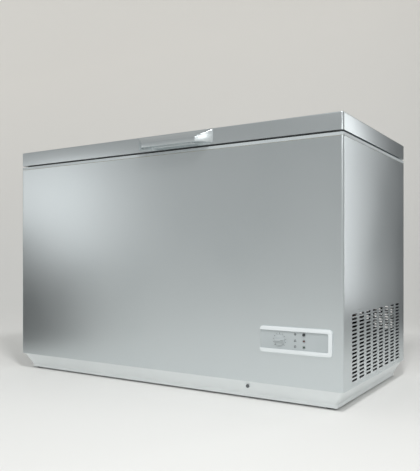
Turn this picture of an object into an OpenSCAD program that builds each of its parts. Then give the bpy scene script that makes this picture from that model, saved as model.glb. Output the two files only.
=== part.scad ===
// Chest freezer: steel cabinet on a low slanted skirt, top-opening lid on two sprung hinges,
// control panel at the lower right of the front, machine compartment behind it with a side grille.
// +X is the machine side, -Y the front, +Z up. The origin is at the bottom, under the middle of
// the whole outline, handle and rear wall spacers included.

/* [Overall size] */
// Width of the cabinet
cabinet_w = 1380; // [1150:1:1700]
// Depth of the cabinet, front sheet to rear sheet
cabinet_d = 674; // [540:1:820]
// Height of the closed freezer, floor to lid top
freezer_h = 885; // [740:1:1070]
// How far the lid handle stands out from the front sheet
handle_out = 42; // [30:1:60]
// How far the wall spacers stand out from the rear sheet
rear_out = 42; // [38:1:70]

/* [Sheet and insulation] */
// Thickness of the outer steel sheet
sheet_t = 1; // [0.8:0.1:1.5]
// Outer radius of the cabinet's upright corners
corner_r = 8; // [5:0.5:14]
// Insulation and skins together, outer face to storage space
wall_t = 60; // [52:1:85]
// Thickness of the inner tub's sheet
liner_t = 1; // [0.8:0.1:2]
// Radius of the storage space's upright corners
liner_r = 28; // [15:1:40]
// Play left between foam and what it surrounds
foam_gap = 0.2; // [0.1:0.05:0.5]

/* [Skirt and feet] */
// Height of the feet under the skirt
foot_h = 5; // [3:0.5:15]
// Radius of a foot
foot_r = 20; // [14:1:30]
// Height of the upright lip at the skirt's lower edge
skirt_lip_h = 11; // [6:0.5:20]
// Height of the slanted part of the skirt
skirt_slope_h = 45; // [30:1:80]
// How far the skirt's top is set in from the cabinet
skirt_top_inset = 6; // [3:0.5:12]
// How far the skirt's lip is set in from the cabinet
skirt_low_inset = 30; // [20:1:50]
// Thickness of the skirt
skirt_t = 1.5; // [1:0.1:3]
// Width of the flanges inside the skirt
skirt_flange = 56; // [48:1:80]

/* [Lid] */
// Height of the lid
lid_h = 54; // [44:1:80]
// Height of the gasket between rim and lid
gasket_h = 6; // [4:0.5:10]
// Width of the gasket
gasket_w = 24; // [14:1:28]
// How far the gasket is set in from the cabinet's outline
gasket_inset = 14; // [10:1:18]
// How far the lid's inner panel drops into the opening
lid_plug_h = 14; // [6:1:14]
// Thickness of the lid's plastic inner panel
panel_t = 2; // [1.5:0.1:3]
// Side play between the lid's inner panel and the rim
plug_play = 4; // [2.5:0.5:10]
// Opening angle of the lid that the hinges allow
lid_open = 80; // [60:1:85]

/* [Rim] */
// Height of the rim's outer edge under the gasket
rim_edge_h = 10; // [6:0.5:16]
// Width of the flat on which the gasket closes
rim_flat_w = 46; // [42:1:50]
// Thickness of the plastic rim
rim_t = 2.5; // [2:0.1:3]
// Depth of the basket ledge below the rim's flat
ledge_drop = 25; // [22:1:40]
// How far the rim reaches down inside the tub
rim_tuck = 14; // [8:1:25]

/* [Handle] */
// Width of the lid handle
handle_w = 314; // [260:1:500]
// How far the handle's middle lies to the right of the lid's middle
handle_x = 85; // [0:1:200]
// Width of the closed block at each end of the handle
handle_block = 60; // [52:1:70]
// How far the middle of the lip is raised above its end blocks
handle_rise = 4; // [0:0.5:6]
// Height of the handle's back, where it meets the lid
handle_h = 42; // [34:1:46]
// Height of the handle's front lip
handle_lip_h = 15; // [10:0.5:18]
// Wall thickness of the handle
handle_t = 3.5; // [2.5:0.1:4]
// Length of the slanting run at each end of the handle
handle_run = 46; // [20:1:48]

/* [Machine compartment] */
// Width of the machine compartment, to the cabinet's outer right face
bay_w = 280; // [262:1:360]
// Height of the machine compartment above the base tray
bay_h = 249; // [246:1:300]
// Diameter of the compressor's shell
compressor_d = 160; // [120:1:168]
// Height of the compressor's shell
compressor_h = 150; // [120:1:165]

/* [Side grille] */
// Length of the side grille, front to back
grille_w = 540; // [420:1:542]
// Height of the side grille
grille_h = 226; // [180:1:226]
// Distance from the front sheet to the grille
grille_front = 68; // [50:1:120]
// Height of the grille's lower edge above the cabinet's fold
grille_up = 8; // [4:1:20]
// Number of slot columns
slot_cols = 8; // [4:1:9]
// Number of slot rows
slot_rows = 18; // [8:1:20]
// Length of one slot
slot_w = 46; // [30:1:48]
// Height of one slot
slot_h = 6.6; // [4:0.1:7]
// Thickness of the grille plate
grille_t = 1.6; // [1:0.1:3]

/* [Control panel] */
// Width of the control bezel
bezel_w = 238; // [190:1:244]
// Height of the control bezel
bezel_h = 81; // [76:1:100]
// Distance from the bezel to the cabinet's right face
bezel_right = 33; // [28:1:40]
// Height of the bezel's lower edge above the cabinet's fold
bezel_up = 101; // [80:1:120]
// How far the bezel stands out from the front sheet
bezel_out = 5; // [3:0.5:8]
// Width of the bezel's bars
bezel_bar = 12; // [9:0.5:14]
// Outer corner radius of the bezel
bezel_r = 10; // [7:0.5:14]
// Thickness of the recessed fascia in front of the sheet
fascia_t = 2; // [1.5:0.1:2.6]
// Radius of the thermostat knob
knob_r = 17; // [12:0.5:20]
// Radius of the fast-freeze button
button_r = 4.5; // [4:0.1:4.6]
// Travel of the fast-freeze button
button_travel = 2.2; // [1.5:0.1:2.5]
// Radius of the indicator lamps
lamp_r = 3; // [2:0.1:4]

/* [Baskets] */
// Width of a basket along the rim
basket_w = 230; // [180:1:260]
// Depth of a basket's body
basket_h = 214; // [150:1:230]
// Wall thickness of a basket, the diameter of its rim wire
basket_t = 4; // [3:0.1:5]
// Width of a basket grip
grip_w = 90; // [60:1:120]

/* [Drain] */
// Radius of the drain outlet's bore
drain_r = 4; // [3:0.1:6]
// Distance from the drain outlet to the cabinet's right face
drain_right = 324; // [315:1:400]
// Height of the drain outlet above the floor
drain_z = 43; // [36:1:50]

/* [Hinges] */
// Distance of each hinge from the cabinet's middle
hinge_x = 430; // [300:1:500]
// Radius of the hinge pin
pin_r = 4; // [3:0.1:5]
// Distance from the rear sheet back to the hinge pin
pin_back = 16; // [15:0.5:20]
// Height of the hinge pin below the lid's lower edge
pin_drop = 9; // [6:0.5:10]
// Running play between a hinge leaf and its pin
pin_play = 0.05; // [0.02:0.01:0.1]
// Width of a hinge leaf
leaf_w = 48; // [40:1:60]
// Thickness of the hinge plates
leaf_t = 3; // [2:0.1:4]

/* [Cooling circuit] */
// Outer radius of the cooling tubes
tube_r = 3; // [2.5:0.1:3.5]
// Number of condenser runs under the outer sheet
condenser_runs = 6; // [4:2:6]
// Number of evaporator runs around the upper part of the tub
evaporator_runs = 6; // [4:2:6]

/* [Hidden] */
$fn = 64;
eps = 0.01;
cut = 1;

// Outline, front to back and left to right
front_y = handle_out - (handle_out + cabinet_d + rear_out) / 2;
rear_y = front_y + cabinet_d;
left_x = -cabinet_w / 2;
right_x = cabinet_w / 2;

// Levels, from the floor up
lip_top_z = foot_h + skirt_lip_h;
fold_z = lip_top_z + skirt_slope_h;
tray_z = fold_z + sheet_t;
tray_top = tray_z + sheet_t;
lid_bottom_z = freezer_h - lid_h;
rim_top_z = lid_bottom_z - gasket_h;
rim_edge_z = rim_top_z - rim_edge_h;
sheet_gap = 1;
fold_w = 10;
hole_play = 0.2;
screw_play = 0.1;
sheet_top_z = rim_edge_z - sheet_gap;
ledge_z = rim_top_z - ledge_drop;
liner_top_z = ledge_z - rim_t - foam_gap;
floor_z = tray_top + wall_t;
bay_top_z = tray_top + bay_h;
step_z = bay_top_z + wall_t - sheet_t;

// Storage space and machine compartment in plan
bay_x = right_x - bay_w;
step_x = bay_x - wall_t;
space_left = left_x + wall_t;
space_right = right_x - wall_t;
space_front = front_y + wall_t;
space_d = cabinet_d - 2 * wall_t;
seat_r = liner_r + wall_t - rim_flat_w;

// Colours
steel_grey = [0.66, 0.69, 0.70];
pale_plastic = [0.84, 0.87, 0.88];
white_plastic = [0.93, 0.94, 0.94];
dark_rubber = [0.13, 0.13, 0.14];
black_paint = [0.10, 0.10, 0.11];
zinc = [0.62, 0.63, 0.65];
copper = [0.72, 0.45, 0.30];
foam_yellow = [0.93, 0.87, 0.66];

// Rectangle with round corners, its lower left corner at the origin
module round_rect(w, d, r) {
    translate([r, 0]) square([w - 2 * r, d]);
    translate([0, r]) square([w, d - 2 * r]);
    for (x = [r, w - r], y = [r, d - r])
        translate([x, y]) circle(r);
}

// The cabinet's outline set in by a distance
module outline(inset, r) {
    translate([left_x + inset, front_y + inset])
        round_rect(cabinet_w - 2 * inset, cabinet_d - 2 * inset, r);
}

// A slab of the cabinet's outline between two levels
module slab(inset, r, z0, z1) {
    translate([0, 0, z0]) linear_extrude(z1 - z0) outline(inset, r);
}

// A frame that follows the cabinet's outline between two insets and two levels
module band(inset_out, r_out, inset_in, r_in, z0, z1) {
    translate([0, 0, z0]) linear_extrude(z1 - z0) difference() {
        outline(inset_out, r_out);
        outline(inset_in, r_in);
    }
}

// A block whose four sides lean in evenly towards its foot
module leaning_block(inset_low, inset_high, z0, z1) {
    intersection() {
        translate([left_x, 0, 0]) rotate([90, 0, 90]) linear_extrude(cabinet_w)
            polygon([[front_y + inset_low, z0], [rear_y - inset_low, z0],
                [rear_y - inset_high, z1], [front_y + inset_high, z1]]);
        translate([0, rear_y, 0]) rotate([90, 0, 0]) linear_extrude(cabinet_d)
            polygon([[left_x + inset_low, z0], [right_x - inset_low, z0],
                [right_x - inset_high, z1], [left_x + inset_high, z1]]);
    }
}

// A round bar from one point to another
module bar(from, to, r) {
    v = to - from;
    translate(from) rotate([0, acos(v[2] / norm(v)), atan2(v[1], v[0])]) cylinder(h = norm(v), r = r);
}

// A tube along a list of points, with a slightly swollen joint at each corner
module tube(points, r) {
    swell = 0.15;
    for (i = [0 : len(points) - 2])
        bar(points[i], points[i + 1], r);
    for (i = [1 : 1 : len(points) - 2])
        translate(points[i]) sphere(r + swell);
}

// A screw that points along -Z from a head at the origin
module screw(head_r, head_h, shaft_r, shaft_l) {
    cylinder(h = head_h, r = head_r);
    translate([0, 0, -shaft_l]) cylinder(h = shaft_l + eps, r = shaft_r);
}

// ---------------------------------------------------------------- cabinet

rear_flange = 18;

window_inset = 8;
window_x = right_x - bezel_right - bezel_w + window_inset;
window_z = fold_z + bezel_up + window_inset;
window_w = bezel_w - 2 * window_inset;
window_h = bezel_h - 2 * window_inset;

grille_border = 8;
grille_y = front_y + grille_front;
grille_z = fold_z + grille_up;
grille_play = 0.3;

// Steel sheet bent round the front and both sides, with the panel and grille openings
module cabinet_wrap() {
    color(steel_grey) difference() {
        union() {
            band(0, corner_r, sheet_t, corner_r - sheet_t, fold_z, sheet_top_z);
            band(0, corner_r, skirt_top_inset + fold_w, 2, fold_z, tray_z);
        }
        translate([left_x + rear_flange, rear_y - sheet_t - cut, tray_z])
            cube([cabinet_w - 2 * rear_flange, sheet_t + 2 * cut, freezer_h]);
        translate([window_x, front_y - cut, window_z]) cube([window_w, sheet_t + 2 * cut, window_h]);
        translate([right_x - sheet_t - cut, grille_y - grille_play, grille_z - grille_play])
            cube([sheet_t + 2 * cut, grille_w + 2 * grille_play, grille_h + 2 * grille_play]);
    }
}

cover_margin = 22;
cover_x = bay_x + cover_margin;
cover_w = bay_w - 2 * cover_margin;
cover_z = tray_top + cover_margin;
cover_h = bay_h - 2 * cover_margin;
cover_lap = 12;
cover_t = 1.2;
cover_screw_r = 1.9;
cover_screw_in = 20;

// Where the six cover screws stand
cover_screw_x = [cover_x + cover_lap / 2, cover_x + cover_w - cover_lap / 2];
cover_screw_z = [cover_z + cover_screw_in, cover_z + cover_h / 2, cover_z + cover_h - cover_screw_in];

// Flat steel sheet at the back, behind the wrap's flanges
module rear_panel() {
    color(zinc) difference() {
        translate([left_x + corner_r, rear_y - 2 * sheet_t, tray_top + foam_gap])
            cube([cabinet_w - 2 * corner_r, sheet_t, sheet_top_z - tray_top - foam_gap]);
        translate([cover_x + cover_lap, rear_y - 2 * sheet_t - cut, cover_z + cover_lap])
            cube([cover_w - 2 * cover_lap, sheet_t + 2 * cut, cover_h - 2 * cover_lap]);
        for (x = cover_screw_x, z = cover_screw_z)
            translate([x, rear_y, z]) rotate([90, 0, 0])
                cylinder(h = 2 * sheet_t + cut, r = cover_screw_r + screw_play);
        hinge_screw_holes(leaf_low_z);
    }
}

vent_slot_w = 30;
vent_slot_h = 5;
vent_web = 10;
vent_top = 30;
vent_bottom = 80;

// Slotted cover over the machine compartment's open back
module rear_cover() {
    pitch = vent_slot_w + vent_web;
    slots = floor((cover_w - 2 * cover_lap - vent_web) / pitch);
    rows = floor((cover_h - vent_top - vent_bottom) / (2 * vent_slot_h));
    color(zinc) difference() {
        translate([cover_x, rear_y, cover_z]) cube([cover_w, cover_t, cover_h]);
        for (i = [0 : slots - 1], j = [0 : rows - 1])
            translate([cover_x + cover_w / 2 + (i - slots / 2) * pitch + vent_web / 2, rear_y - cut,
                    cover_z + cover_h - vent_top - j * 2 * vent_slot_h])
                cube([vent_slot_w, cover_t + 2 * cut, vent_slot_h]);
        for (x = cover_screw_x, z = cover_screw_z)
            translate([x, rear_y + cover_t + cut, z]) rotate([90, 0, 0])
                cylinder(h = cover_t + 2 * cut, r = cover_screw_r + screw_play);
        translate([gland_x, rear_y + cover_t + cut, gland_z]) rotate([90, 0, 0])
            cylinder(h = cover_t + 2 * cut, r = gland_r);
    }
}

module rear_cover_screws() {
    color(zinc) for (x = cover_screw_x, z = cover_screw_z)
        translate([x, rear_y + cover_t, z]) rotate([-90, 0, 0]) screw(4, 2, cover_screw_r, 8);
}

gland_r = 9;
gland_bore_r = 4;
gland_set_in = 40;
gland_x = cover_x + gland_set_in;
gland_z = cover_z + gland_set_in;

// Bush in the rear cover where the supply lead comes in
module cable_gland() {
    tail = 12;
    cap_h = 5;
    nut_h = 4.8;
    color(black_paint) translate([gland_x, rear_y, gland_z]) rotate([-90, 0, 0]) difference() {
        union() {
            translate([0, 0, -tail]) cylinder(h = tail + cover_t + eps, r = gland_r - screw_play);
            translate([0, 0, cover_t]) cylinder(h = cap_h, r = gland_r + 4);
            translate([0, 0, -nut_h - hole_play]) cylinder(h = nut_h, r = gland_r + 3);
        }
        translate([0, 0, -tail - cut]) cylinder(h = tail + cover_t + cap_h + 2 * cut, r = gland_bore_r);
    }
}

// Floor sheet of the cabinet
module base_tray() {
    color(zinc) difference() {
        slab(sheet_t + foam_gap, corner_r - sheet_t, tray_z, tray_top);
        translate([drain_x, drain_y, tray_z - cut]) cylinder(h = sheet_t + 2 * cut, r = drain_pipe_r + 0.3);
        for (p = grommet_spots)
            translate([p[0], p[1], tray_z - cut]) cylinder(h = sheet_t + 2 * cut, r = bolt_r + hole_play);
    }
}

foot_set_in = skirt_low_inset + skirt_flange / 2;
foot_spots = [for (x = [left_x + foot_set_in, right_x - foot_set_in],
    y = [front_y + foot_set_in, rear_y - foot_set_in]) [x, y]];
foot_stem_r = 5;

// Slanted base skirt, wide at the cabinet's fold and narrow at its lip
module skirt() {
    color(steel_grey) difference() {
        union() {
            leaning_block(skirt_low_inset, skirt_top_inset, lip_top_z, fold_z);
            slab(skirt_low_inset, 4, foot_h, lip_top_z + eps);
        }
        leaning_block(skirt_low_inset + skirt_t, skirt_top_inset + skirt_t, lip_top_z, fold_z - skirt_t);
        slab(skirt_low_inset + skirt_t, 3, foot_h + skirt_t, lip_top_z + 2 * eps);
        slab(skirt_low_inset + skirt_flange, 3, foot_h - cut, foot_h + skirt_t + cut);
        slab(skirt_low_inset + fold_w, 3, fold_z - skirt_t - cut, fold_z + cut);
        for (p = foot_spots)
            translate([p[0], p[1], foot_h - cut])
                cylinder(h = skirt_t + 2 * cut, r = foot_stem_r + hole_play);
        translate([outlet_x, front_y, drain_z]) rotate([-90, 0, 0])
            cylinder(h = skirt_low_inset + collar_in, r = collar_r + hole_play);
        for (p = skirt_screw_spots)
            translate([p[0], p[1], fold_z - skirt_t - cut])
                cylinder(h = skirt_t + cut + eps, r = skirt_screw_r + hole_play);
    }
}

skirt_screw_r = 1.8;
skirt_screw_in = skirt_top_inset + 7;
skirt_screw_spots = [for (x = [-0.35, 0, 0.35], y = [front_y + skirt_screw_in, rear_y - skirt_screw_in])
    [x * cabinet_w, y]];

// Screws that hold the skirt under the cabinet's fold
module skirt_screws() {
    color(zinc) for (p = skirt_screw_spots)
        translate([p[0], p[1], fold_z - skirt_t]) rotate([180, 0, 0]) screw(3.5, 2, skirt_screw_r, skirt_t);
}

// Flat round feet with a stem through the skirt's lower flange and a nut above it
module feet() {
    nut_h = 5;
    nut_r = 10;
    stem_end = 4;
    color(dark_rubber) for (p = foot_spots) translate([p[0], p[1], 0]) {
        cylinder(h = foot_h, r = foot_r);
        translate([0, 0, foot_h - eps]) cylinder(h = skirt_t + nut_h + stem_end, r = foot_stem_r);
        translate([0, 0, foot_h + skirt_t]) cylinder(h = nut_h, r = nut_r, $fn = 6);
    }
}

spacer_w = 40;
spacer_h = 50;
spacer_t = 3;
spacer_in = 90;
spacer_z = fold_z + 520;

// Hollow plastic buffers that keep the back off the wall
module wall_spacers() {
    color(black_paint) for (side = [-1, 1])
        translate([side * (right_x - spacer_in) - spacer_w / 2, rear_y - sheet_t, spacer_z]) difference() {
            cube([spacer_w, rear_out + sheet_t, spacer_h]);
            translate([spacer_t, -cut, spacer_t])
                cube([spacer_w - 2 * spacer_t, rear_out - spacer_t, spacer_h - 2 * spacer_t]);
        }
}

// The storage space grown by a distance: a deep part, and a wide part above the step
module tub_block(grow, top_z) {
    deep_w = step_x - space_left;
    wide_w = space_right - space_left;
    translate([space_left - grow, space_front - grow, floor_z - grow])
        linear_extrude(step_z - floor_z) round_rect(deep_w + 2 * grow, space_d + 2 * grow, liner_r + grow);
    translate([space_left - grow, space_front - grow, step_z - grow])
        linear_extrude(top_z - step_z + grow)
            round_rect(wide_w + 2 * grow, space_d + 2 * grow, liner_r + grow);
}

// Sheet-metal tub with a step over the machine compartment
module inner_liner() {
    color(white_plastic) difference() {
        tub_block(liner_t, liner_top_z);
        tub_block(0, liner_top_z + cut);
        translate([drain_x, drain_y, floor_z - liner_t - cut])
            cylinder(h = liner_t + 2 * cut, r = stopper_r + stopper_play);
    }
}

// Insulation between the tub and the outer sheets
module cabinet_foam() {
    flat_gap = foam_gap + rim_t;
    color(foam_yellow) difference() {
        translate([0, 0, tray_top]) linear_extrude(rim_top_z - flat_gap - tray_top)
            translate([left_x + sheet_t + foam_gap, front_y + sheet_t + foam_gap])
                round_rect(cabinet_w - 2 * (sheet_t + foam_gap),
                    cabinet_d - 3 * sheet_t - 2 * foam_gap, corner_r - sheet_t);
        band(-cut, corner_r, flat_gap, corner_r - flat_gap, rim_edge_z - foam_gap, freezer_h);
        tub_block(liner_t + foam_gap, rim_top_z);
        slab(rim_flat_w - flat_gap, seat_r + flat_gap, ledge_z - flat_gap, freezer_h);
        translate([bay_x - foam_gap, front_y - cut, tray_top - cut])
            cube([bay_w + 2, cabinet_d + 2 * cut, bay_h + foam_gap + cut]);
        for (i = [0 : condenser_runs - 1])
            band(-cut, corner_r, condenser_in + channel, condenser_bend - channel,
                condenser_z(i) - channel, condenser_z(i) + channel);
        for (x = [left_x, right_x - condenser_in - channel])
            translate([x, coil_back_y - channel, bay_top_z])
                cube([condenser_in + channel, 2 * channel, coil_high_z - bay_top_z + channel]);
        for (i = [0 : evaporator_runs - 1])
            translate([space_left - evap_out, space_front - evap_out, evaporator_z(i) - channel])
                linear_extrude(2 * channel)
                    round_rect(space_right - space_left + 2 * evap_out,
                        coil_back_y - space_front + 2 * evap_out + liner_r + channel, evap_out + liner_r);
        for (x = [space_left - evap_out, space_right])
            translate([x, coil_back_y - channel, coil_low_z - channel])
                cube([evap_out, 2 * channel, coil_high_z - coil_low_z + 2 * channel]);
        translate([space_right, suction_y - channel, bay_top_z])
            cube([evap_out, 2 * channel, coil_low_z - bay_top_z]);
        translate([drain_x, drain_y, tray_top - cut])
            cylinder(h = wall_t + 2 * cut, r = drain_cup_r + hole_play);
    }
}

// Plastic frame on the cabinet's top: gasket flat, basket ledge and tuck inside the tub
module rim_collar() {
    tuck_in = wall_t + foam_gap;
    color(white_plastic) {
        band(0, corner_r, rim_flat_w, seat_r, rim_top_z - rim_t, rim_top_z);
        band(0, corner_r, rim_t, corner_r - rim_t, rim_edge_z, rim_top_z - rim_t + eps);
        band(rim_flat_w - rim_t, seat_r + rim_t, rim_flat_w, seat_r, ledge_z - rim_t,
            rim_top_z - rim_t + eps);
        band(rim_flat_w - eps, seat_r + eps, tuck_in + rim_t, liner_r - foam_gap - rim_t,
            ledge_z - rim_t, ledge_z);
        band(tuck_in, liner_r - foam_gap, tuck_in + rim_t, liner_r - foam_gap - rim_t,
            ledge_z - rim_tuck, ledge_z - rim_t + eps);
    }
}

// ---------------------------------------------------------------- machine compartment

// Sheet that closes the compartment off from the foam, with holes for the pipes
module machine_bay_wall() {
    bay_front = front_y + sheet_t + foam_gap;
    bay_d = cabinet_d - 3 * sheet_t - 2 * foam_gap;
    color(zinc) difference() {
        intersection() {
            translate([0, bay_front + bay_d, 0]) rotate([90, 0, 0]) linear_extrude(bay_d)
                polygon([[bay_x, tray_top], [bay_x + sheet_t, tray_top], [bay_x + sheet_t,
                    bay_top_z - sheet_t],
                    [right_x, bay_top_z - sheet_t], [right_x, bay_top_z], [bay_x, bay_top_z]]);
            slab(sheet_t + foam_gap, corner_r - sheet_t, tray_top, bay_top_z);
        }
        for (p = [condenser_port, [space_right + evap_mid, suction_y]])
            translate([p[0], p[1], bay_top_z - sheet_t - cut])
                cylinder(h = sheet_t + 2 * cut, r = tube_r + 2 * hole_play);
    }
}

// Slotted plate in the right-hand side
module side_grille() {
    field_w = grille_w - 2 * grille_border;
    field_h = grille_h - 2 * grille_border;
    col_pitch = (field_w + slot_w / 2) / slot_cols;
    row_pitch = field_h / slot_rows;
    color(steel_grey)
        translate([right_x - grille_t, grille_y, grille_z]) rotate([90, 0, 90]) linear_extrude(grille_t)
            difference() {
                square([grille_w, grille_h]);
                for (i = [0 : slot_cols - 1], j = [0 : slot_rows - 1])
                    translate([grille_w / 2 + (i - (slot_cols - 1) / 2) * col_pitch - slot_w / 2,
                            grille_border + (j + 0.5) * row_pitch - slot_h / 2])
                        slot(slot_w, slot_h);
            }
}

// Slot with round ends, its lower left corner at the origin
module slot(w, h) {
    translate([h / 2, 0]) square([w - h, h]);
    for (x = [h / 2, w - h / 2])
        translate([x, h / 2]) circle(h / 2, $fn = 24);
}

compressor_in = 150;
compressor_x = right_x - compressor_in;
compressor_y = rear_y - 190;
plate_t = 2;
plate_w = 230;
plate_d = 190;
grommet_h = 14;
grommet_r = 10;
grommet_in = 22;
bolt_head_r = 6;
bolt_head_h = 4;
bolt_r = 3;
base_t = 3;
grommet_spots = [for (x = [-1, 1], y = [-1, 1])
    [compressor_x + x * (plate_w / 2 - grommet_in), compressor_y + y * (plate_d / 2 - grommet_in)]];
shell_z = tray_top + plate_t + grommet_h + base_t;

// Steel plate on the base tray that carries the compressor
module compressor_plate() {
    color(zinc) difference() {
        translate([compressor_x - plate_w / 2, compressor_y - plate_d / 2, tray_top])
            linear_extrude(plate_t) round_rect(plate_w, plate_d, 12);
        for (p = grommet_spots)
            translate([p[0], p[1], tray_top - cut]) cylinder(h = plate_t + 2 * cut, r = bolt_r + hole_play);
    }
}

// Rubber mounts between the plate and the compressor's own base
module compressor_grommets() {
    color(dark_rubber) for (p = grommet_spots) translate([p[0], p[1], tray_top + plate_t]) difference() {
        union() {
            cylinder(h = grommet_h, r = grommet_r);
            translate([0, 0, grommet_h / 2 - 1.5]) cylinder(h = 3, r = grommet_r + 2);
        }
        translate([0, 0, -cut]) cylinder(h = grommet_h + 2 * cut, r = bolt_r + hole_play);
    }
}

module compressor_bolts() {
    color(zinc) for (p = grommet_spots) translate([p[0], p[1], shell_z]) {
        nut_h = bolt_head_h + 1;
        translate([0, 0, tray_z - shell_z - nut_h - 1])
            cylinder(h = shell_z - tray_z + nut_h + 1 + eps, r = bolt_r);
        cylinder(h = bolt_head_h, r = bolt_head_r, $fn = 6);
        translate([0, 0, tray_z - shell_z - nut_h])
            cylinder(h = nut_h - hole_play, r = bolt_head_r, $fn = 6);
    }
}

// Hermetic shell with its weld seam, base and three pipe stubs
module compressor() {
    shell_r = compressor_d / 2;
    dome_r = 36;
    seam_out = 3;
    seam_h = 5;
    base_in = 10;
    color(black_paint) difference() {
        translate([compressor_x, compressor_y, shell_z]) {
            rotate_extrude() intersection() {
                translate([-shell_r, 0]) round_rect(2 * shell_r, compressor_h, dome_r);
                square([shell_r, compressor_h]);
            }
            translate([0, 0, compressor_h * 0.55]) cylinder(h = seam_h, r = shell_r + seam_out);
            translate([base_in - plate_w / 2, base_in - plate_d / 2, -base_t])
                linear_extrude(base_t + 1) round_rect(plate_w - 2 * base_in, plate_d - 2 * base_in, 14);
        }
        for (p = grommet_spots)
            translate([p[0], p[1], shell_z - base_t - cut])
                cylinder(h = base_t + cut + bolt_head_h, r = bolt_r + hole_play);
        for (p = grommet_spots)
            translate([p[0], p[1], shell_z]) cylinder(h = bolt_head_h + 1, r = bolt_head_r + 3);
    }
}

starter_d = 30;
starter_y = compressor_y - compressor_d / 2 - starter_d;

// Starting relay and terminals on the compressor's front side
module starter_box() {
    box_w = 64;
    box_h = 52;
    notch = 5;
    color(black_paint) translate([compressor_x - box_w / 2, starter_y, shell_z + 24]) difference() {
        cube([box_w, starter_d - 1, box_h]);
        translate([-cut, starter_d - 2 * notch, -cut]) cube([notch + cut, 2 * notch, box_h + 2 * cut]);
    }
}

drier_x = bay_x + 60;
drier_y = rear_y - 70;
drier_z = bay_top_z - 120;
drier_r = 11;
drier_h = 70;
drier_neck = 8;

// Copper filter drier, standing between the condenser's end and the capillary
module filter_drier() {
    color(copper) translate([drier_x, drier_y, drier_z]) {
        cylinder(h = drier_h, r = drier_r);
        translate([0, 0, drier_h - eps]) cylinder(h = drier_neck, r1 = drier_r, r2 = tube_r + 1);
        translate([0, 0, -drier_neck]) cylinder(h = drier_neck + eps, r1 = tube_r + 1, r2 = drier_r);
    }
}

stub_z = shell_z + 60;
hot_stub = 40;

// Where a pipe stub starts on the compressor's back, a distance to the side of its middle
function shell_back(dx) = compressor_y + sqrt(pow(compressor_d / 2, 2) - pow(max(0, dx - tube_r), 2)) + 0.3;

// Hot line from the compressor up to the condenser
module discharge_pipe() {
    hx = compressor_x + hot_stub;
    hy = shell_back(hot_stub) + 38;
    hz = stub_z - 30;
    level = bay_top_z - 2 * port_reach;
    color(copper) tube([[hx, shell_back(hot_stub), hz], [hx, hy, hz], [hx, hy, level],
        [condenser_port[0], condenser_port[1], level],
        [condenser_port[0], condenser_port[1], bay_top_z - port_reach - foam_gap]], tube_r);
}

// Cold return line from the evaporator to the compressor
module suction_pipe() {
    sx = space_right + evap_mid;
    back = shell_back(0) + 20;
    level = bay_top_z - 4 * port_reach;
    color(copper) tube([[compressor_x, shell_back(0), stub_z], [compressor_x, back, stub_z],
        [compressor_x, back, level], [compressor_x, suction_y, level], [sx, suction_y, level],
        [sx, suction_y, bay_top_z - port_reach - foam_gap]], tube_r);
}

// Fine tube from the drier to the roof of the compartment
module capillary_tube() {
    cap_r = 1;
    coil_r = 16;
    coil_turns = 5;
    coil_pitch = 12;
    cap_x = drier_x + 50;
    low_z = drier_z - 30;
    color(copper) {
        tube([[drier_x, drier_y, drier_z - drier_neck], [drier_x, drier_y, low_z], [cap_x, drier_y, low_z],
            [cap_x, drier_y, bay_top_z - sheet_t]], cap_r);
        for (k = [0 : coil_turns - 1]) translate([cap_x, drier_y, drier_z + coil_pitch * k]) {
            rotate_extrude() translate([coil_r, 0]) circle(cap_r, $fn = 16);
            bar([0, 0, 0], [coil_r - cap_r / 2, 0, 0], cap_r);
        }
    }
}

// Wires from the control panel back to the starting relay
module wiring_loom() {
    back = front_y + housing_d;
    low_z = tray_top + 70;
    color(black_paint) tube([[loom_x, back, loom_z], [loom_x, back + 40, loom_z], [loom_x, back + 40, low_z],
        [compressor_x, back + 90, low_z], [compressor_x, starter_y, low_z]], loom_r);
}

// ---------------------------------------------------------------- cooling coils

channel = tube_r + 0.5;
port_reach = 16;
condenser_in = grille_t + tube_r + 0.6;
condenser_bend = 14;
coil_back_y = rear_y - 70;
evap_mid = liner_t + tube_r + 0.3;
evap_out = evap_mid + channel;
suction_y = coil_back_y - 40;
condenser_port = [right_x - condenser_in, coil_back_y];
coil_low_z = step_z + 30;
coil_high_z = ledge_z - rim_tuck - 24;
function coil_step(runs) = (coil_high_z - coil_low_z) / (runs - 1);
function condenser_z(i) = coil_low_z + i * coil_step(condenser_runs);
function evaporator_z(i) = coil_low_z + i * coil_step(evaporator_runs);

// One run of tube along the left side, the front and the right side
module side_run(in, bend_r, z) {
    xl = left_x + in;
    xr = right_x - in;
    yf = front_y + in;
    bar([xl, coil_back_y, z], [xl, yf + bend_r, z], tube_r);
    bar([xl + bend_r, yf, z], [xr - bend_r, yf, z], tube_r);
    bar([xr, yf + bend_r, z], [xr, coil_back_y, z], tube_r);
    translate([xl + bend_r, yf + bend_r, z]) rotate([0, 0, 180])
        rotate_extrude(angle = 90) translate([bend_r, 0]) circle(tube_r, $fn = 24);
    translate([xr - bend_r, yf + bend_r, z]) rotate([0, 0, 270])
        rotate_extrude(angle = 90) translate([bend_r, 0]) circle(tube_r, $fn = 24);
}

// Serpentine of runs joined at alternate sides, with a soldered elbow at each end of a run
module serpentine(in, bend_r, runs) {
    step = coil_step(runs);
    elbow_r = tube_r + 0.2;
    for (i = [0 : runs - 1])
        side_run(in, bend_r, coil_low_z + i * step);
    for (i = [0 : runs - 2])
        bar([i % 2 == 0 ? left_x + in : right_x - in, coil_back_y, coil_low_z + i * step],
            [i % 2 == 0 ? left_x + in : right_x - in, coil_back_y, coil_low_z + (i + 1) * step], tube_r);
    for (i = [0 : runs - 1], x = [left_x + in, right_x - in])
        translate([x, coil_back_y, coil_low_z + i * step]) sphere(elbow_r);
}

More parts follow.
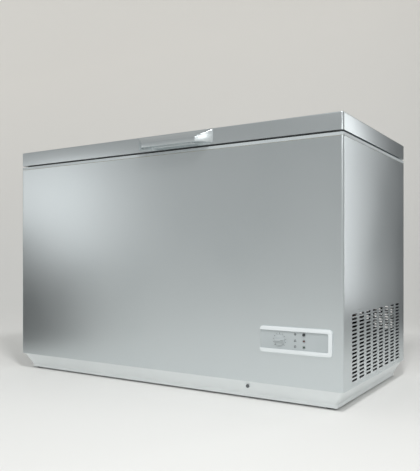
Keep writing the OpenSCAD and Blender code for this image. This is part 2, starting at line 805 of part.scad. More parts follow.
// Condenser tube against the inside of the outer sheet
module condenser_coil() {
    color(copper) {
        serpentine(condenser_in, condenser_bend, condenser_runs);
        bar([condenser_port[0], condenser_port[1], coil_low_z],
            [condenser_port[0], condenser_port[1], bay_top_z - port_reach], tube_r);
    }
}

// Evaporator tube against the outside of the tub
module evaporator_coil() {
    color(copper) {
        serpentine(wall_t - evap_mid, liner_r + evap_mid, evaporator_runs);
        bar([space_right + evap_mid, suction_y, coil_low_z],
            [space_right + evap_mid, suction_y, bay_top_z - port_reach], tube_r);
        translate([space_right + evap_mid, suction_y, coil_low_z]) sphere(tube_r + 0.2);
    }
}

// ---------------------------------------------------------------- control panel

housing_d = 46;
housing_t = 2;
housing_play = 0.4;
bezel_x = right_x - bezel_right - bezel_w;
bezel_z = fold_z + bezel_up;
knob_x = bezel_x + 67;
knob_z = bezel_z + 0.49 * bezel_h;
button_x = bezel_x + 148;
button_z = bezel_z + 0.75 * bezel_h;
lamp_z = [bezel_z + 0.51 * bezel_h, bezel_z + 0.28 * bezel_h];
shaft_r = 3;
shaft_play = 0.05;
loom_r = 4;
loom_x = window_x + 60;
loom_z = window_z + 30;
fascia_play = 0.3;

// Everything on the panel is drawn lying down and then stood against the front
module on_front(x, z) {
    translate([x, front_y, z]) rotate([90, 0, 0]) children();
}

// The panel's recess: open at the left end, rounded at the right
module recess_shape(play) {
    low = bezel_bar + play;
    w = bezel_w - low;
    h = bezel_h - 2 * low;
    translate([0, low]) round_rect(w, h, 5);
    translate([play, low]) square([w / 2, h]);
}

// Pale frame round the panel, three bars with a closed right end
module control_bezel() {
    tongue = 5;
    color(pale_plastic) on_front(bezel_x, bezel_z) difference() {
        union() {
            linear_extrude(bezel_out) round_rect(bezel_w, bezel_h, bezel_r);
            translate([window_inset + housing_play, window_inset + housing_play, -tongue])
                linear_extrude(tongue + eps)
                    square([window_w - 2 * housing_play, window_h - 2 * housing_play]);
        }
        translate([bezel_bar, bezel_bar, -tongue - cut])
            cube([bezel_w - 2 * bezel_bar, bezel_h - 2 * bezel_bar, tongue + cut + eps]);
        linear_extrude(bezel_out + cut) {
            recess_shape(0);
            translate([-cut, bezel_bar]) square([bezel_r + cut, bezel_h - 2 * bezel_bar]);
        }
    }
}

// Recessed plate with holes for the knob's shaft, the button and the lamps
module control_fascia() {
    low = bezel_bar + fascia_play;
    color(steel_grey) on_front(bezel_x, bezel_z) difference() {
        intersection() {
            linear_extrude(fascia_t) recess_shape(fascia_play);
            translate([0.6, 0, 0]) linear_extrude(fascia_t) round_rect(bezel_w, bezel_h, bezel_r);
        }
        translate([knob_x - bezel_x, knob_z - bezel_z, -cut])
            cylinder(h = fascia_t + 2 * cut, r = shaft_r + 1);
        translate([button_x - bezel_x, button_z - bezel_z, -cut])
            cylinder(h = fascia_t + 2 * cut, r = button_r + 0.1);
        for (z = lamp_z)
            translate([button_x - bezel_x, z - bezel_z, -cut])
                cylinder(h = fascia_t + 2 * cut, r = lamp_r + 0.1);
    }
}

// Open-fronted box behind the panel
module control_housing() {
    in = bezel_bar + housing_play;
    w = bezel_w - 2 * in;
    h = bezel_h - 2 * in;
    color(white_plastic) on_front(bezel_x + in, bezel_z + in)
        translate([0, 0, -housing_d]) difference() {
            cube([w, h, housing_d - 0.5]);
            translate([housing_t, housing_t, housing_t])
                cube([w - 2 * housing_t, h - 2 * housing_t, housing_d]);
            translate([loom_x - bezel_x - in, loom_z - bezel_z - in, -cut])
                cylinder(h = housing_t + 2 * cut, r = loom_r + hole_play);
        }
}

// Thermostat with the shaft that carries the knob
module thermostat() {
    body_w = 30;
    body_front = 12;
    body_back = 34;
    color(zinc) on_front(knob_x, knob_z) {
        translate([-body_w / 2, -body_w / 2, -body_back]) cube([body_w, body_w, body_back - body_front]);
        translate([0, 0, -body_front - 1]) cylinder(h = body_front + 1 + fascia_t + 4, r = shaft_r);
    }
}

// Round dial with a raised grip bar across it
module thermostat_knob() {
    skirt_h = 2.6;
    bar_h = 3.4;
    bar_w = 8;
    color(pale_plastic) on_front(knob_x, knob_z) translate([0, 0, fascia_t + 0.4]) difference() {
        union() {
            cylinder(h = skirt_h, r = knob_r);
            translate([0, 0, skirt_h - eps]) intersection() {
                cylinder(h = bar_h, r = knob_r - 1.5);
                translate([-knob_r, -bar_w / 2, 0]) cube([2 * knob_r, bar_w, bar_h]);
            }
        }
        translate([0, 0, -cut]) cylinder(h = 3.8 + cut, r = shaft_r + shaft_play);
    }
}

// Switch behind the fast-freeze button
module fast_freeze_switch() {
    switch_w = 11;
    color(black_paint) on_front(button_x, button_z)
        translate([-switch_w / 2, -switch_w / 2, -30]) cube([switch_w, switch_w, 16]);
}

// Push button with a collar that keeps it behind the fascia
module fast_freeze_button() {
    button_l = 10.5;
    color(dark_rubber) on_front(button_x, button_z) {
        translate([0, 0, -button_l]) cylinder(h = button_l + fascia_t + button_travel + 0.8, r = button_r);
        translate([0, 0, -2]) cylinder(h = 1.8, r = button_r + 1);
    }
}

module lamp(z) {
    on_front(button_x, z) {
        translate([0, 0, -6]) cylinder(h = 6 + fascia_t + 0.4, r = lamp_r);
        translate([0, 0, -9]) cylinder(h = 7, r = lamp_r + 1);
    }
}

module alarm_lamp() {
    color([0.45, 0.12, 0.10]) lamp(lamp_z[0]);
}

module power_lamp() {
    color([0.12, 0.32, 0.18]) lamp(lamp_z[1]);
}

// ---------------------------------------------------------------- drain

drain_pipe_r = drain_r + 1.5;
collar_r = drain_r + 2.5;
outlet_x = right_x - drain_right;
drain_x = step_x - 30;
drain_y = space_front + 50;
stopper_r = 9;
stopper_play = 0.3;
cup_depth = 20;
drain_cup_r = stopper_r + 2;
outlet_y = front_y + skirt_top_inset
    + (fold_z - drain_z) / skirt_slope_h * (skirt_low_inset - skirt_top_inset);
collar_in = 34;
collar_out = 3;

// Pipe from the tub's floor down through the base and forward to the outlet
module drain_pipe() {
    back_y = outlet_y + collar_in + hole_play;
    cup_z = floor_z - cup_depth - 4;
    color(pale_plastic) difference() {
        union() {
            tube([[outlet_x, back_y, drain_z], [outlet_x, back_y + 8, drain_z], [drain_x, drain_y, drain_z],
                [drain_x, drain_y, floor_z - cup_depth]], drain_pipe_r);
            translate([drain_x, drain_y, cup_z])
                cylinder(h = floor_z - liner_t - foam_gap - cup_z, r = drain_cup_r);
        }
        translate([drain_x, drain_y, floor_z - cup_depth])
            cylinder(h = cup_depth + cut, r = stopper_r + stopper_play);
        translate([drain_x, drain_y, drain_z]) cylinder(h = floor_z, r = drain_r);
    }
}

// Short bush in the skirt, the drain's mouth
module drain_collar() {
    rib_z = 12;
    color(dark_rubber) translate([outlet_x, outlet_y, drain_z]) rotate([-90, 0, 0]) difference() {
        union() {
            translate([0, 0, -collar_out]) cylinder(h = collar_in + collar_out, r = collar_r);
            translate([0, 0, rib_z]) cylinder(h = collar_out, r = collar_r + 3);
        }
        translate([0, 0, -collar_out - cut]) cylinder(h = collar_in + collar_out + 2 * cut, r = drain_r);
    }
}

// Pull-out plug in the drain's mouth
module drain_plug() {
    cap_h = 2.8;
    stem_l = 15;
    color(dark_rubber) translate([outlet_x, outlet_y, drain_z]) rotate([-90, 0, 0]) {
        translate([0, 0, -collar_out - hole_play - cap_h]) cylinder(h = cap_h, r = collar_r - 1);
        translate([0, 0, -collar_out - hole_play - eps])
            cylinder(h = stem_l + eps, r = drain_r - screw_play);
    }
}

// Lift-out stopper in the tub's floor
module drain_stopper() {
    plug_l = 16;
    flange_h = 3;
    grip_l = 18;
    color(white_plastic) translate([drain_x, drain_y, floor_z + stopper_play]) {
        translate([0, 0, -plug_l]) cylinder(h = plug_l + eps, r = stopper_r);
        cylinder(h = flange_h, r = stopper_r + 5);
        translate([-2, -grip_l / 2, flange_h - eps]) cube([4, grip_l, 10]);
    }
}

// ---------------------------------------------------------------- lid

plug_inset = rim_flat_w + plug_play;
plug_r = seat_r - plug_play;
plug_z = lid_bottom_z - lid_plug_h;
lid_flange = 12;

// Steel shell of the lid, folded in under its edge
module lid_skin() {
    color(steel_grey) difference() {
        slab(0, corner_r, lid_bottom_z, freezer_h);
        slab(sheet_t, corner_r - sheet_t, lid_bottom_z + sheet_t, freezer_h - sheet_t);
        slab(lid_flange, 6, lid_bottom_z - cut, lid_bottom_z + sheet_t + cut);
        for (p = handle_screw_spots)
            translate([p[0], front_y - cut, p[1]]) rotate([-90, 0, 0])
                cylinder(h = sheet_t + 2 * cut, r = handle_screw_r + 2 * hole_play);
        hinge_screw_holes(leaf_high_z);
    }
}

// White moulded panel under the lid, with a shallow plug that fills the opening
module lid_inner_panel() {
    color(white_plastic) difference() {
        union() {
            slab(lid_flange + foam_gap, 6, lid_bottom_z, lid_bottom_z + panel_t);
            slab(plug_inset, plug_r, plug_z, lid_bottom_z + eps);
        }
        slab(plug_inset + panel_t, plug_r - panel_t, plug_z + panel_t, lid_bottom_z + panel_t + cut);
        translate([-lamp_w / 2 - lamp_play, lamp_y - lamp_play, plug_z - cut])
            cube([lamp_w + 2 * lamp_play, lamp_d + 2 * lamp_play, panel_t + 2 * cut]);
    }
}

module lid_foam() {
    low = lid_bottom_z + panel_t + foam_gap;
    color(foam_yellow) difference() {
        union() {
            slab(sheet_t + foam_gap, corner_r - sheet_t, low, freezer_h - sheet_t - foam_gap);
            slab(plug_inset + panel_t + foam_gap, plug_r - panel_t - foam_gap,
                plug_z + panel_t + foam_gap, low + eps);
        }
        translate([-lamp_w / 2 - lamp_t, lamp_y - lamp_t, plug_z])
            cube([lamp_w + 2 * lamp_t, lamp_d + 2 * lamp_t, lamp_h + 1]);
        for (p = handle_screw_spots)
            translate([p[0], front_y, p[1]]) rotate([-90, 0, 0])
                cylinder(h = 8, r = handle_screw_head_r + 1);
        for (side = [-1, 1], dx = [-1, 1])
            translate([side * hinge_x + dx * leaf_hole_x, rear_y, leaf_high_z]) rotate([90, 0, 0])
                cylinder(h = 14, r = 3);
    }
}

// Magnetic seal under the lid's edge
module lid_gasket() {
    color(dark_rubber)
        band(gasket_inset, 6, gasket_inset + gasket_w, seat_r - gasket_inset, rim_top_z + foam_gap,
            lid_bottom_z);
}

lamp_w = 150;
lamp_d = 52;
lamp_h = 24;
lamp_t = 2;
lamp_play = 0.3;
lamp_z0 = plug_z - 1;
lamp_y = front_y + 130;

// Tray of the light under the lid
module lamp_housing() {
    color(white_plastic) translate([-lamp_w / 2, lamp_y, lamp_z0]) difference() {
        cube([lamp_w, lamp_d, lamp_h]);
        translate([lamp_t, lamp_t, -cut])
            cube([lamp_w - 2 * lamp_t, lamp_d - 2 * lamp_t, lamp_h - lamp_t + cut]);
    }
}

module lamp_bulb() {
    glass_l = 52;
    cap_l = 18;
    color([0.95, 0.93, 0.85]) translate([-30, lamp_y + lamp_d / 2, lamp_z0 + lamp_h / 2])
        rotate([0, 90, 0]) {
        cylinder(h = glass_l, r = 7);
        translate([0, 0, -cap_l]) cylinder(h = cap_l + eps, r = 5);
    }
}

module lamp_lens() {
    in = lamp_t + hole_play;
    color([0.95, 0.95, 0.92, 0.6]) translate([in - lamp_w / 2, lamp_y + in, lamp_z0])
        linear_extrude(lamp_t) round_rect(lamp_w - 2 * in, lamp_d - 2 * in, 3);
}

handle_drop = 4;
handle_top_z = freezer_h - handle_drop;
handle_low_z = handle_top_z - handle_h;
handle_screw_r = 1.9;
handle_screw_head_r = 4.5;
handle_screw_spots = [for (x = [-0.38, -0.13, 0.13, 0.38])
    [handle_x + x * handle_w, handle_low_z + handle_h * 0.62]];

// Plan of the handle: flat run along the lid with slanting ends
module handle_plan(shrink) {
    half = handle_w / 2;
    out = handle_out - shrink;
    polygon([[-half + shrink, 0], [-half + handle_run, -out], [half - handle_run, -out],
        [half - shrink, 0]]);
}

// Section of the handle: a slope that falls away from the lid, then an upright lip
module handle_section(shrink) {
    low = handle_low_z - (shrink > 0 ? cut : 0);
    lip_top = handle_low_z + handle_lip_h;
    polygon([[0, low], [-handle_out + shrink, low], [-handle_out + shrink, lip_top - shrink * 0.4],
        [-2, handle_top_z - shrink * 1.2], [0, handle_top_z - shrink * 1.2]]);
}

module handle_body(shrink) {
    intersection() {
        translate([handle_x, front_y, handle_low_z - cut]) linear_extrude(handle_h + 2 * cut)
            handle_plan(shrink);
        translate([handle_x - handle_w / 2, front_y, 0]) rotate([90, 0, 90]) linear_extrude(handle_w)
            handle_section(shrink);
    }
}

// Grip on the front of the lid: closed end blocks, hollow and open underneath between them
module lid_handle() {
    back_wall = 1.5;
    boss_l = 12;
    boss_r = 4.5;
    gap_x = handle_x - handle_w / 2 + handle_block;
    gap_w = handle_w - 2 * handle_block;
    color(steel_grey) difference() {
        union() {
            difference() {
                handle_body(0);
                intersection() {
                    handle_body(handle_t);
                    translate([gap_x, front_y - handle_out, 0])
                        cube([gap_w, handle_out - back_wall, freezer_h]);
                }
                translate([gap_x, front_y - handle_out - cut, handle_low_z - cut])
                    cube([gap_w, handle_out - back_wall + cut, handle_rise + cut]);
            }
            for (p = handle_screw_spots)
                translate([p[0], front_y, p[1]]) rotate([90, 0, 0]) cylinder(h = boss_l, r = boss_r);
        }
        for (p = handle_screw_spots)
            translate([p[0], front_y + cut, p[1]]) rotate([90, 0, 0])
                cylinder(h = boss_l - 1 + cut, r = handle_screw_r);
    }
}

module handle_screws() {
    color(zinc) for (p = handle_screw_spots)
        translate([p[0], front_y + sheet_t, p[1]]) rotate([-90, 0, 0])
            screw(handle_screw_head_r, 2.5, handle_screw_r - screw_play, 9);
}

// ---------------------------------------------------------------- hinges

pin_y = rear_y + pin_back;
pin_z = lid_bottom_z - pin_drop;
knuckle_r = 10;
leaf_low_z = pin_z - 70;
leaf_high_z = lid_bottom_z + 30;
leaf_hole_x = 14;
ear_gap = 1;
hinge_screw_r = 2.4;
bracket_low = 20;
bracket_top_z = pin_z - 14;
leaf_plate_z = lid_bottom_z + 4;
leaf_plate_h = 42;

// The two screw holes of one hinge plate, drilled along Y
module plate_holes(z) {
    for (dx = [-1, 1])
        translate([dx * leaf_hole_x, rear_y + leaf_t + cut, z]) rotate([90, 0, 0])
            cylinder(h = leaf_t + 3 * sheet_t + 2 * cut, r = hinge_screw_r + hole_play);
}

// The screw holes of a row of both hinges
module hinge_screw_holes(z) {
    for (side = [-1, 1])
        translate([side * hinge_x, 0, 0]) plate_holes(z);
}

// Lower half of a hinge, screwed to the cabinet's back, with two outer ears
module hinge_bracket(side) {
    half = leaf_w / 2 + ear_gap;
    color(zinc) translate([side * hinge_x, 0, 0]) {
        difference() {
            translate([-half - leaf_t, rear_y, leaf_low_z - bracket_low])
                cube([2 * half + 2 * leaf_t, leaf_t, bracket_top_z - leaf_low_z + bracket_low]);
            plate_holes(leaf_low_z);
        }
        for (x = [-half - leaf_t, half])
            bracket_ear(x);
    }
}

// Outer ear: from the bracket's plate out to the eye
module bracket_ear(x) {
    translate([x, 0, 0]) rotate([90, 0, 90]) linear_extrude(leaf_t) difference() {
        union() {
            translate([pin_y, pin_z]) circle(knuckle_r);
            polygon([[rear_y + leaf_t / 2, leaf_low_z + bracket_low / 2], [rear_y + leaf_t / 2,
                bracket_top_z],
                [pin_y - knuckle_r * 0.8, pin_z + knuckle_r * 0.6],
                [pin_y + knuckle_r * 0.8, pin_z - knuckle_r * 0.6]]);
        }
        translate([pin_y, pin_z]) circle(pin_r);
    }
}

// Upper half of a hinge, screwed to the lid's back, with two inner ears
module hinge_leaf(side) {
    half = leaf_w / 2;
    color(zinc) translate([side * hinge_x, 0, 0]) {
        difference() {
            translate([-half, rear_y, leaf_plate_z]) cube([leaf_w, leaf_t, leaf_plate_h]);
            plate_holes(leaf_high_z);
        }
        for (x = [-half, half - leaf_t])
            leaf_ear(x);
    }
}

// Inner ear: from the lid's plate down to the eye
module leaf_ear(x) {
    translate([x, 0, 0]) rotate([90, 0, 90]) linear_extrude(leaf_t) difference() {
        union() {
            translate([pin_y, pin_z]) circle(knuckle_r);
            polygon([[rear_y + leaf_t / 2, leaf_plate_z], [pin_y - knuckle_r * 0.9, pin_z + knuckle_r * 0.4],
                [pin_y + knuckle_r * 0.9, pin_z + knuckle_r * 0.4],
                [rear_y + leaf_t / 2, leaf_plate_z + leaf_plate_h - 6]]);
        }
        translate([pin_y, pin_z]) circle(pin_r + pin_play);
    }
}

module hinge_bracket_left() {
    hinge_bracket(-1);
}

module hinge_bracket_right() {
    hinge_bracket(1);
}

module hinge_leaf_left() {
    hinge_leaf(-1);
}

module hinge_leaf_right() {
    hinge_leaf(1);
}

// Headed pins through both halves of each hinge
module hinge_pins() {
    half = leaf_w / 2 + ear_gap + leaf_t;
    head_h = 2.8;
    tip = half + hole_play + head_h;
    color(zinc) for (side = [-1, 1]) translate([side * hinge_x, pin_y, pin_z]) rotate([0, 90, 0]) {
        translate([0, 0, -tip]) cylinder(h = 2 * tip, r = pin_r - 0.01);
        for (z = [-tip, tip - head_h])
            translate([0, 0, z]) cylinder(h = head_h, r = pin_r + 3);
    }
}

spring_wire_r = 1.2;
spring_turns = 8;
spring_r = pin_r + 0.6 + spring_wire_r;
spring_half = leaf_w / 2 - leaf_t - 1.5 - spring_wire_r;
spring_rings = spring_turns * 9;
spring_sides = 6;

// Point k of ring i on the wire of a coil spring whose axis is X
function spring_point(i, k) = let (
    t = i / spring_rings,
    turn = 360 * spring_turns * t,
    around = 360 * k / spring_sides,
    r = spring_r + spring_wire_r * cos(around))
    [(2 * t - 1) * spring_half + spring_wire_r * sin(around), r * cos(turn), r * sin(turn)];

// Coil springs round the hinge pins that carry part of the lid's weight
module hinge_springs() {
    points = [for (i = [0 : spring_rings], k = [0 : spring_sides - 1]) spring_point(i, k)];
    sides = [for (i = [0 : spring_rings - 1], k = [0 : spring_sides - 1])
        let (n = (k + 1) % spring_sides, a = i * spring_sides, b = a + spring_sides)
        [a + k, a + n, b + n, b + k]];
    first = [for (k = [spring_sides - 1 : -1 : 0]) k];
    last = [for (k = [0 : spring_sides - 1]) spring_rings * spring_sides + k];
    color(zinc) for (side = [-1, 1])
        translate([side * hinge_x, pin_y, pin_z]) polyhedron(points, concat([first], sides, [last]));
}

// Screws of the lower brackets
module hinge_screws() {
    color(zinc) for (side = [-1, 1], dx = [-1, 1])
        translate([side * hinge_x + dx * leaf_hole_x, rear_y + leaf_t, leaf_low_z]) rotate([-90, 0, 0])
            screw(5, 2.5, hinge_screw_r, leaf_t + 2 * sheet_t);
}

// ---------------------------------------------------------------- baskets

hook_play = 0.4;
hook_inset = rim_flat_w + 2.5;
basket_inset = wall_t + rim_t + 8;
basket_top_z = ledge_z + 4;
basket_left_x = -250;
basket_right_x = space_right - 45 - basket_w / 2;

// Open-topped basket that hangs from the ledge by a flange at each end
module basket(x) {
    y0 = front_y + basket_inset;
    y1 = rear_y - basket_inset;
    color(white_plastic) translate([x - basket_w / 2, 0, 0]) {
        difference() {
            translate([0, y0, basket_top_z - basket_h]) cube([basket_w, y1 - y0, basket_h]);
            translate([basket_t, y0 + basket_t, basket_top_z - basket_h + basket_t])
                cube([basket_w - 2 * basket_t, y1 - y0 - 2 * basket_t, basket_h]);
        }
        for (y = [front_y + hook_inset, y1 - eps])
            translate([0, y, ledge_z + hook_play])
                cube([basket_w, basket_inset - hook_inset + eps, basket_top_z - ledge_z - hook_play]);
    }
}

// Moulded grips on a basket's two hanging ends
module basket_grips(x) {
    grip_d = basket_inset - hook_inset - 2;
    color(pale_plastic) for (y = [front_y + hook_inset + 1, rear_y - basket_inset + 1])
        translate([x - grip_w / 2, y, basket_top_z + 0.05]) linear_extrude(5)
            round_rect(grip_w, grip_d, 5);
}

module basket_left() {
    basket(basket_left_x);
}

module basket_right() {
    basket(basket_right_x);
}

module basket_left_grips() {
    basket_grips(basket_left_x);
}

module basket_right_grips() {
    basket_grips(basket_right_x);
}

cabinet_wrap();
rear_panel();
base_tray();
skirt();
skirt_screws();
feet();
wall_spacers();
cabinet_foam();
inner_liner();
rim_collar();
machine_bay_wall();
side_grille();
rear_cover();
rear_cover_screws();
cable_gland();
condenser_coil();
evaporator_coil();
compressor();
compressor_grommets();
compressor_bolts();
compressor_plate();
starter_box();
filter_drier();
discharge_pipe();
suction_pipe();
capillary_tube();
wiring_loom();
control_housing();
control_bezel();
control_fascia();
thermostat();
thermostat_knob();
fast_freeze_switch();
fast_freeze_button();
alarm_lamp();
power_lamp();
drain_pipe();
drain_collar();
drain_plug();
drain_stopper();
lid_skin();
lid_foam();
lid_inner_panel();
lid_gasket();
lid_handle();
handle_screws();
lamp_housing();
lamp_bulb();
lamp_lens();
hinge_bracket_left();
hinge_bracket_right();
hinge_leaf_left();
hinge_leaf_right();
hinge_pins();
hinge_springs();
hinge_screws();
basket_left();
basket_right();
basket_left_grips();
basket_right_grips();
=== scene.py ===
import math
import bmesh
import bpy
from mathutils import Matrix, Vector


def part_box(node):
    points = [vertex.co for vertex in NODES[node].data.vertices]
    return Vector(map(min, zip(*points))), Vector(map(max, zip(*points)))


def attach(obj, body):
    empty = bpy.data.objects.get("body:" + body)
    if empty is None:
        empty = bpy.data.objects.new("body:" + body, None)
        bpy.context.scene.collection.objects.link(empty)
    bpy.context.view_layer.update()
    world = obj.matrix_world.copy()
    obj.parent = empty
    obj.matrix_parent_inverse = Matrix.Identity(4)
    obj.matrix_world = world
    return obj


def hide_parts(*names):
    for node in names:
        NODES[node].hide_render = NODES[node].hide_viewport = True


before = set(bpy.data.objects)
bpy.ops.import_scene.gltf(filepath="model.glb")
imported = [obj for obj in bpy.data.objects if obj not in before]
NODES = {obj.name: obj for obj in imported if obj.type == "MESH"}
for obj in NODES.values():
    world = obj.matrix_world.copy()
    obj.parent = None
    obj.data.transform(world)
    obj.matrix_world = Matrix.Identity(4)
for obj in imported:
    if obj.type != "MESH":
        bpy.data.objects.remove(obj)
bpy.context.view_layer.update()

MM = 0.001


# ---------------------------------------------------------------- camera

def add_camera():
    """Eye level at the middle of the cabinet, off its machine-side corner."""
    data = bpy.data.cameras.new("camera")
    data.lens = 46.0
    data.sensor_width = 36.0
    data.shift_y = 0.0429
    camera = bpy.data.objects.new("camera", data)
    camera.location = (1.298, -2.026, 0.462)
    camera.rotation_euler = (math.radians(90), 0, math.radians(32.3))
    bpy.context.scene.collection.objects.link(camera)
    bpy.context.scene.camera = camera


add_camera()


# ---------------------------------------------------------------- small tools

def colour(code):
    """A linear colour from an sRGB hex value."""
    def channel(value):
        value /= 255
        return value / 12.92 if value <= 0.04045 else ((value + 0.055) / 1.055) ** 2.4
    return tuple(channel(int(code[i:i + 2], 16)) for i in (1, 3, 5)) + (1,)


def add_node(tree, kind, links=(), **settings):
    """Adds a node; settings are its own fields or its sockets' values, links are (socket, source)."""
    made = tree.nodes.new("ShaderNode" + kind)
    for name, value in settings.items():
        if hasattr(made, name):
            setattr(made, name, value)
        else:
            made.inputs[name.replace("_", " ")].default_value = value
    for socket, source in links:
        tree.links.new(source, made.inputs[socket])
    return made


def deselect():
    """Leaves nothing selected and no object in edit mode."""
    if bpy.context.object and bpy.context.object.mode != "OBJECT":
        bpy.ops.object.mode_set(mode="OBJECT")
    bpy.ops.object.select_all(action="DESELECT")


def take(piece):
    """Makes one object the selected and active one."""
    deselect()
    piece.select_set(True)
    bpy.context.view_layer.objects.active = piece


def pick(piece, kind, test):
    """Opens a mesh in edit mode with only the elements that pass the test selected."""
    if bpy.context.object is not piece or piece.mode != "EDIT":
        take(piece)
        bpy.ops.object.mode_set(mode="EDIT")
    bpy.ops.mesh.select_mode(type=kind)
    bpy.ops.mesh.select_all(action="DESELECT")
    mesh = bmesh.from_edit_mesh(piece.data)
    mesh.normal_update()
    for element in {"FACE": mesh.faces, "EDGE": mesh.edges, "VERT": mesh.verts}[kind]:
        if test(element):
            element.select_set(True)
    mesh.select_flush_mode()
    bmesh.update_edit_mesh(piece.data)


def middle(edge):
    """The middle of an edge."""
    return (edge.verts[0].co + edge.verts[1].co) / 2


def runs_along(edge, axis):
    """True if an edge runs along one axis."""
    way = (edge.verts[1].co - edge.verts[0].co).normalized()
    return abs(way[axis]) > 0.999


def block(name, low, high):
    """A box between two corners, its place in its mesh."""
    deselect()
    low, high = Vector(low), Vector(high)
    bpy.ops.mesh.primitive_cube_add(size=1, location=(low + high) / 2, scale=high - low)
    piece = bpy.context.object
    piece.name = name
    settle(piece)
    return piece


def round_bar(name, centre, radius, length, axis, sides=32):
    """A cylinder along one axis, its place in its mesh."""
    deselect()
    turn = {0: (0, math.pi / 2, 0), 1: (math.pi / 2, 0, 0), 2: (0, 0, 0)}[axis]
    bpy.ops.mesh.primitive_cylinder_add(vertices=sides, radius=radius, depth=length, location=centre,
                                        rotation=turn)
    piece = bpy.context.object
    piece.name = name
    settle(piece)
    return piece


def settle(piece):
    """Moves an object's place, turn and size into its mesh."""
    take(piece)
    bpy.ops.object.transform_apply(location=True, rotation=True, scale=True)


def close_edit():
    """Back to object mode."""
    if bpy.context.object and bpy.context.object.mode != "OBJECT":
        bpy.ops.object.mode_set(mode="OBJECT")


def modify(piece, kind, **settings):
    """Adds a modifier and applies it."""
    take(piece)
    made = piece.modifiers.new(kind.title(), kind)
    for name, value in settings.items():
        setattr(made, name, value)
    bpy.ops.object.modifier_apply(modifier=made.name)


def ease(piece, width, segments=3, angle=30):
    """Rounds every sharp edge a little and smooths the rest."""
    close_edit()
    modify(piece, "BEVEL", width=width, segments=segments, limit_method="ANGLE",
           angle_limit=math.radians(angle), use_clamp_overlap=True)
    smooth(piece)


def smooth(piece, angle=35):
    """Smooth shading across all but sharp edges."""
    close_edit()
    take(piece)
    bpy.ops.object.shade_smooth_by_angle(angle=math.radians(angle))


def join(name, pieces):
    """Joins several meshes into one."""
    deselect()
    for piece in pieces:
        piece.select_set(True)
    bpy.context.view_layer.objects.active = pieces[0]
    if len(pieces) > 1:
        bpy.ops.object.join()
    joined = bpy.context.object
    joined.name = name
    return joined


def cut_away(piece, cutter):
    """Cuts one mesh out of another and removes the cutter."""
    close_edit()
    modify(piece, "BOOLEAN", operation="DIFFERENCE", solver="EXACT", object=cutter)
    bpy.data.objects.remove(cutter)


def finish(piece, material, body, *nodes):
    """Gives a piece its one material and its body, and hides the nodes that it stands for."""
    close_edit()
    piece.data.materials.clear()
    piece.data.materials.append(material)
    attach(piece, body)
    for node in nodes:
        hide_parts(node)
    return piece


def eased_copy(node, body, width, material, segments=2):
    """A copy of a CAD piece, its facets merged into whole faces and its edges rounded."""
    source = NODES[node]
    piece = source.copy()
    piece.data = source.data.copy()
    piece.parent = None
    piece.name = node + "_finished"
    for key in list(piece.keys()):
        del piece[key]
    bpy.context.scene.collection.objects.link(piece)
    take(piece)
    bpy.ops.object.mode_set(mode="EDIT")
    bpy.ops.mesh.select_all(action="SELECT")
    bpy.ops.mesh.remove_doubles(threshold=0.00002)
    bpy.ops.mesh.dissolve_limited(angle_limit=math.radians(1))
    close_edit()
    ease(piece, width, segments)
    finish(piece, material, body, node)


# ---------------------------------------------------------------- materials

def new_surface(name, **settings):
    """A material with its shader set, the shader and its Object coordinates."""
    material = bpy.data.materials.new(name)
    material.use_nodes = True
    tree = material.node_tree
    shader = tree.nodes["Principled BSDF"]
    for socket, value in settings.items():
        shader.inputs[socket.replace("_", " ")].default_value = value
    place = add_node(tree, "TexCoord").outputs["Object"]
    return material, tree, shader, place


def tint(tree, shader, factor, dark, light):
    """Runs the base colour between two colours by a factor."""
    ramp = add_node(tree, "ValToRGB", [("Fac", factor)])
    ramp.color_ramp.elements[0].color = colour(dark)
    ramp.color_ramp.elements[1].color = colour(light)
    tree.links.new(ramp.outputs["Color"], shader.inputs["Base Color"])
    return ramp


def spread(tree, source, low, high):
    """Maps 0 to 1 onto another range."""
    return add_node(tree, "MapRange", [("Value", source)], To_Min=low, To_Max=high).outputs["Result"]


def bump(tree, shader, height, depth, strength=1.0):
    """Raises the surface by a height pattern of a real depth in metres."""
    made = add_node(tree, "Bump", [("Height", height)], Strength=strength, Distance=depth)
    tree.links.new(made.outputs["Normal"], shader.inputs["Normal"])


def lacquered_steel():
    """Stainless-look metallic lacquer on smooth sheet: satin, with a fine flake and a faint orange peel."""
    flake_size = 0.9 * MM  # real flakes are about 0.05 mm, drawn coarser so that they show at all
    peel_size = 3 * MM
    material, tree, shader, place = new_surface("satin silver lacquer on steel",
                                                Metallic=0.93, Roughness=0.33)
    flakes = add_node(tree, "TexNoise", [("Vector", place)], Scale=1 / flake_size, Detail=1.0)
    cloud = add_node(tree, "TexNoise", [("Vector", place)], Scale=3.0, Detail=2.0)
    mixed = add_node(tree, "Math", [(0, flakes.outputs["Fac"]), (1, cloud.outputs["Fac"])], operation="ADD")
    half = spread(tree, mixed.outputs["Value"], -0.6, 0.7)
    tint(tree, shader, half, "#CED6D8", "#DAE0E2")
    tree.links.new(spread(tree, cloud.outputs["Fac"], 0.29, 0.35), shader.inputs["Roughness"])
    peel = add_node(tree, "TexNoise", [("Vector", place)], Scale=1 / peel_size, Detail=1.0)
    bump(tree, shader, peel.outputs["Fac"], 0.02 * MM, 0.25)
    return material


def skirt_painted_light_lacquer():
    """Silver-white lacquer of the skirt: paler and less metallic than the cabinet's, the paleness being
    painted light that stands in for the bright floor reflected in its slope; slightly cloudy.
    """
    material, tree, shader, place = new_surface("silver lacquer painted paler as floor reflection",
                                                Metallic=0.45, Roughness=0.38)
    cloud = add_node(tree, "TexNoise", [("Vector", place)], Scale=9.0, Detail=3.0)
    # painted light: the skirt's paler colours stand in for the bright floor reflected in its slope
    tint(tree, shader, cloud.outputs["Fac"], "#E3E8E9", "#EEF2F3")
    tree.links.new(spread(tree, cloud.outputs["Fac"], 0.34, 0.42), shader.inputs["Roughness"])
    return material


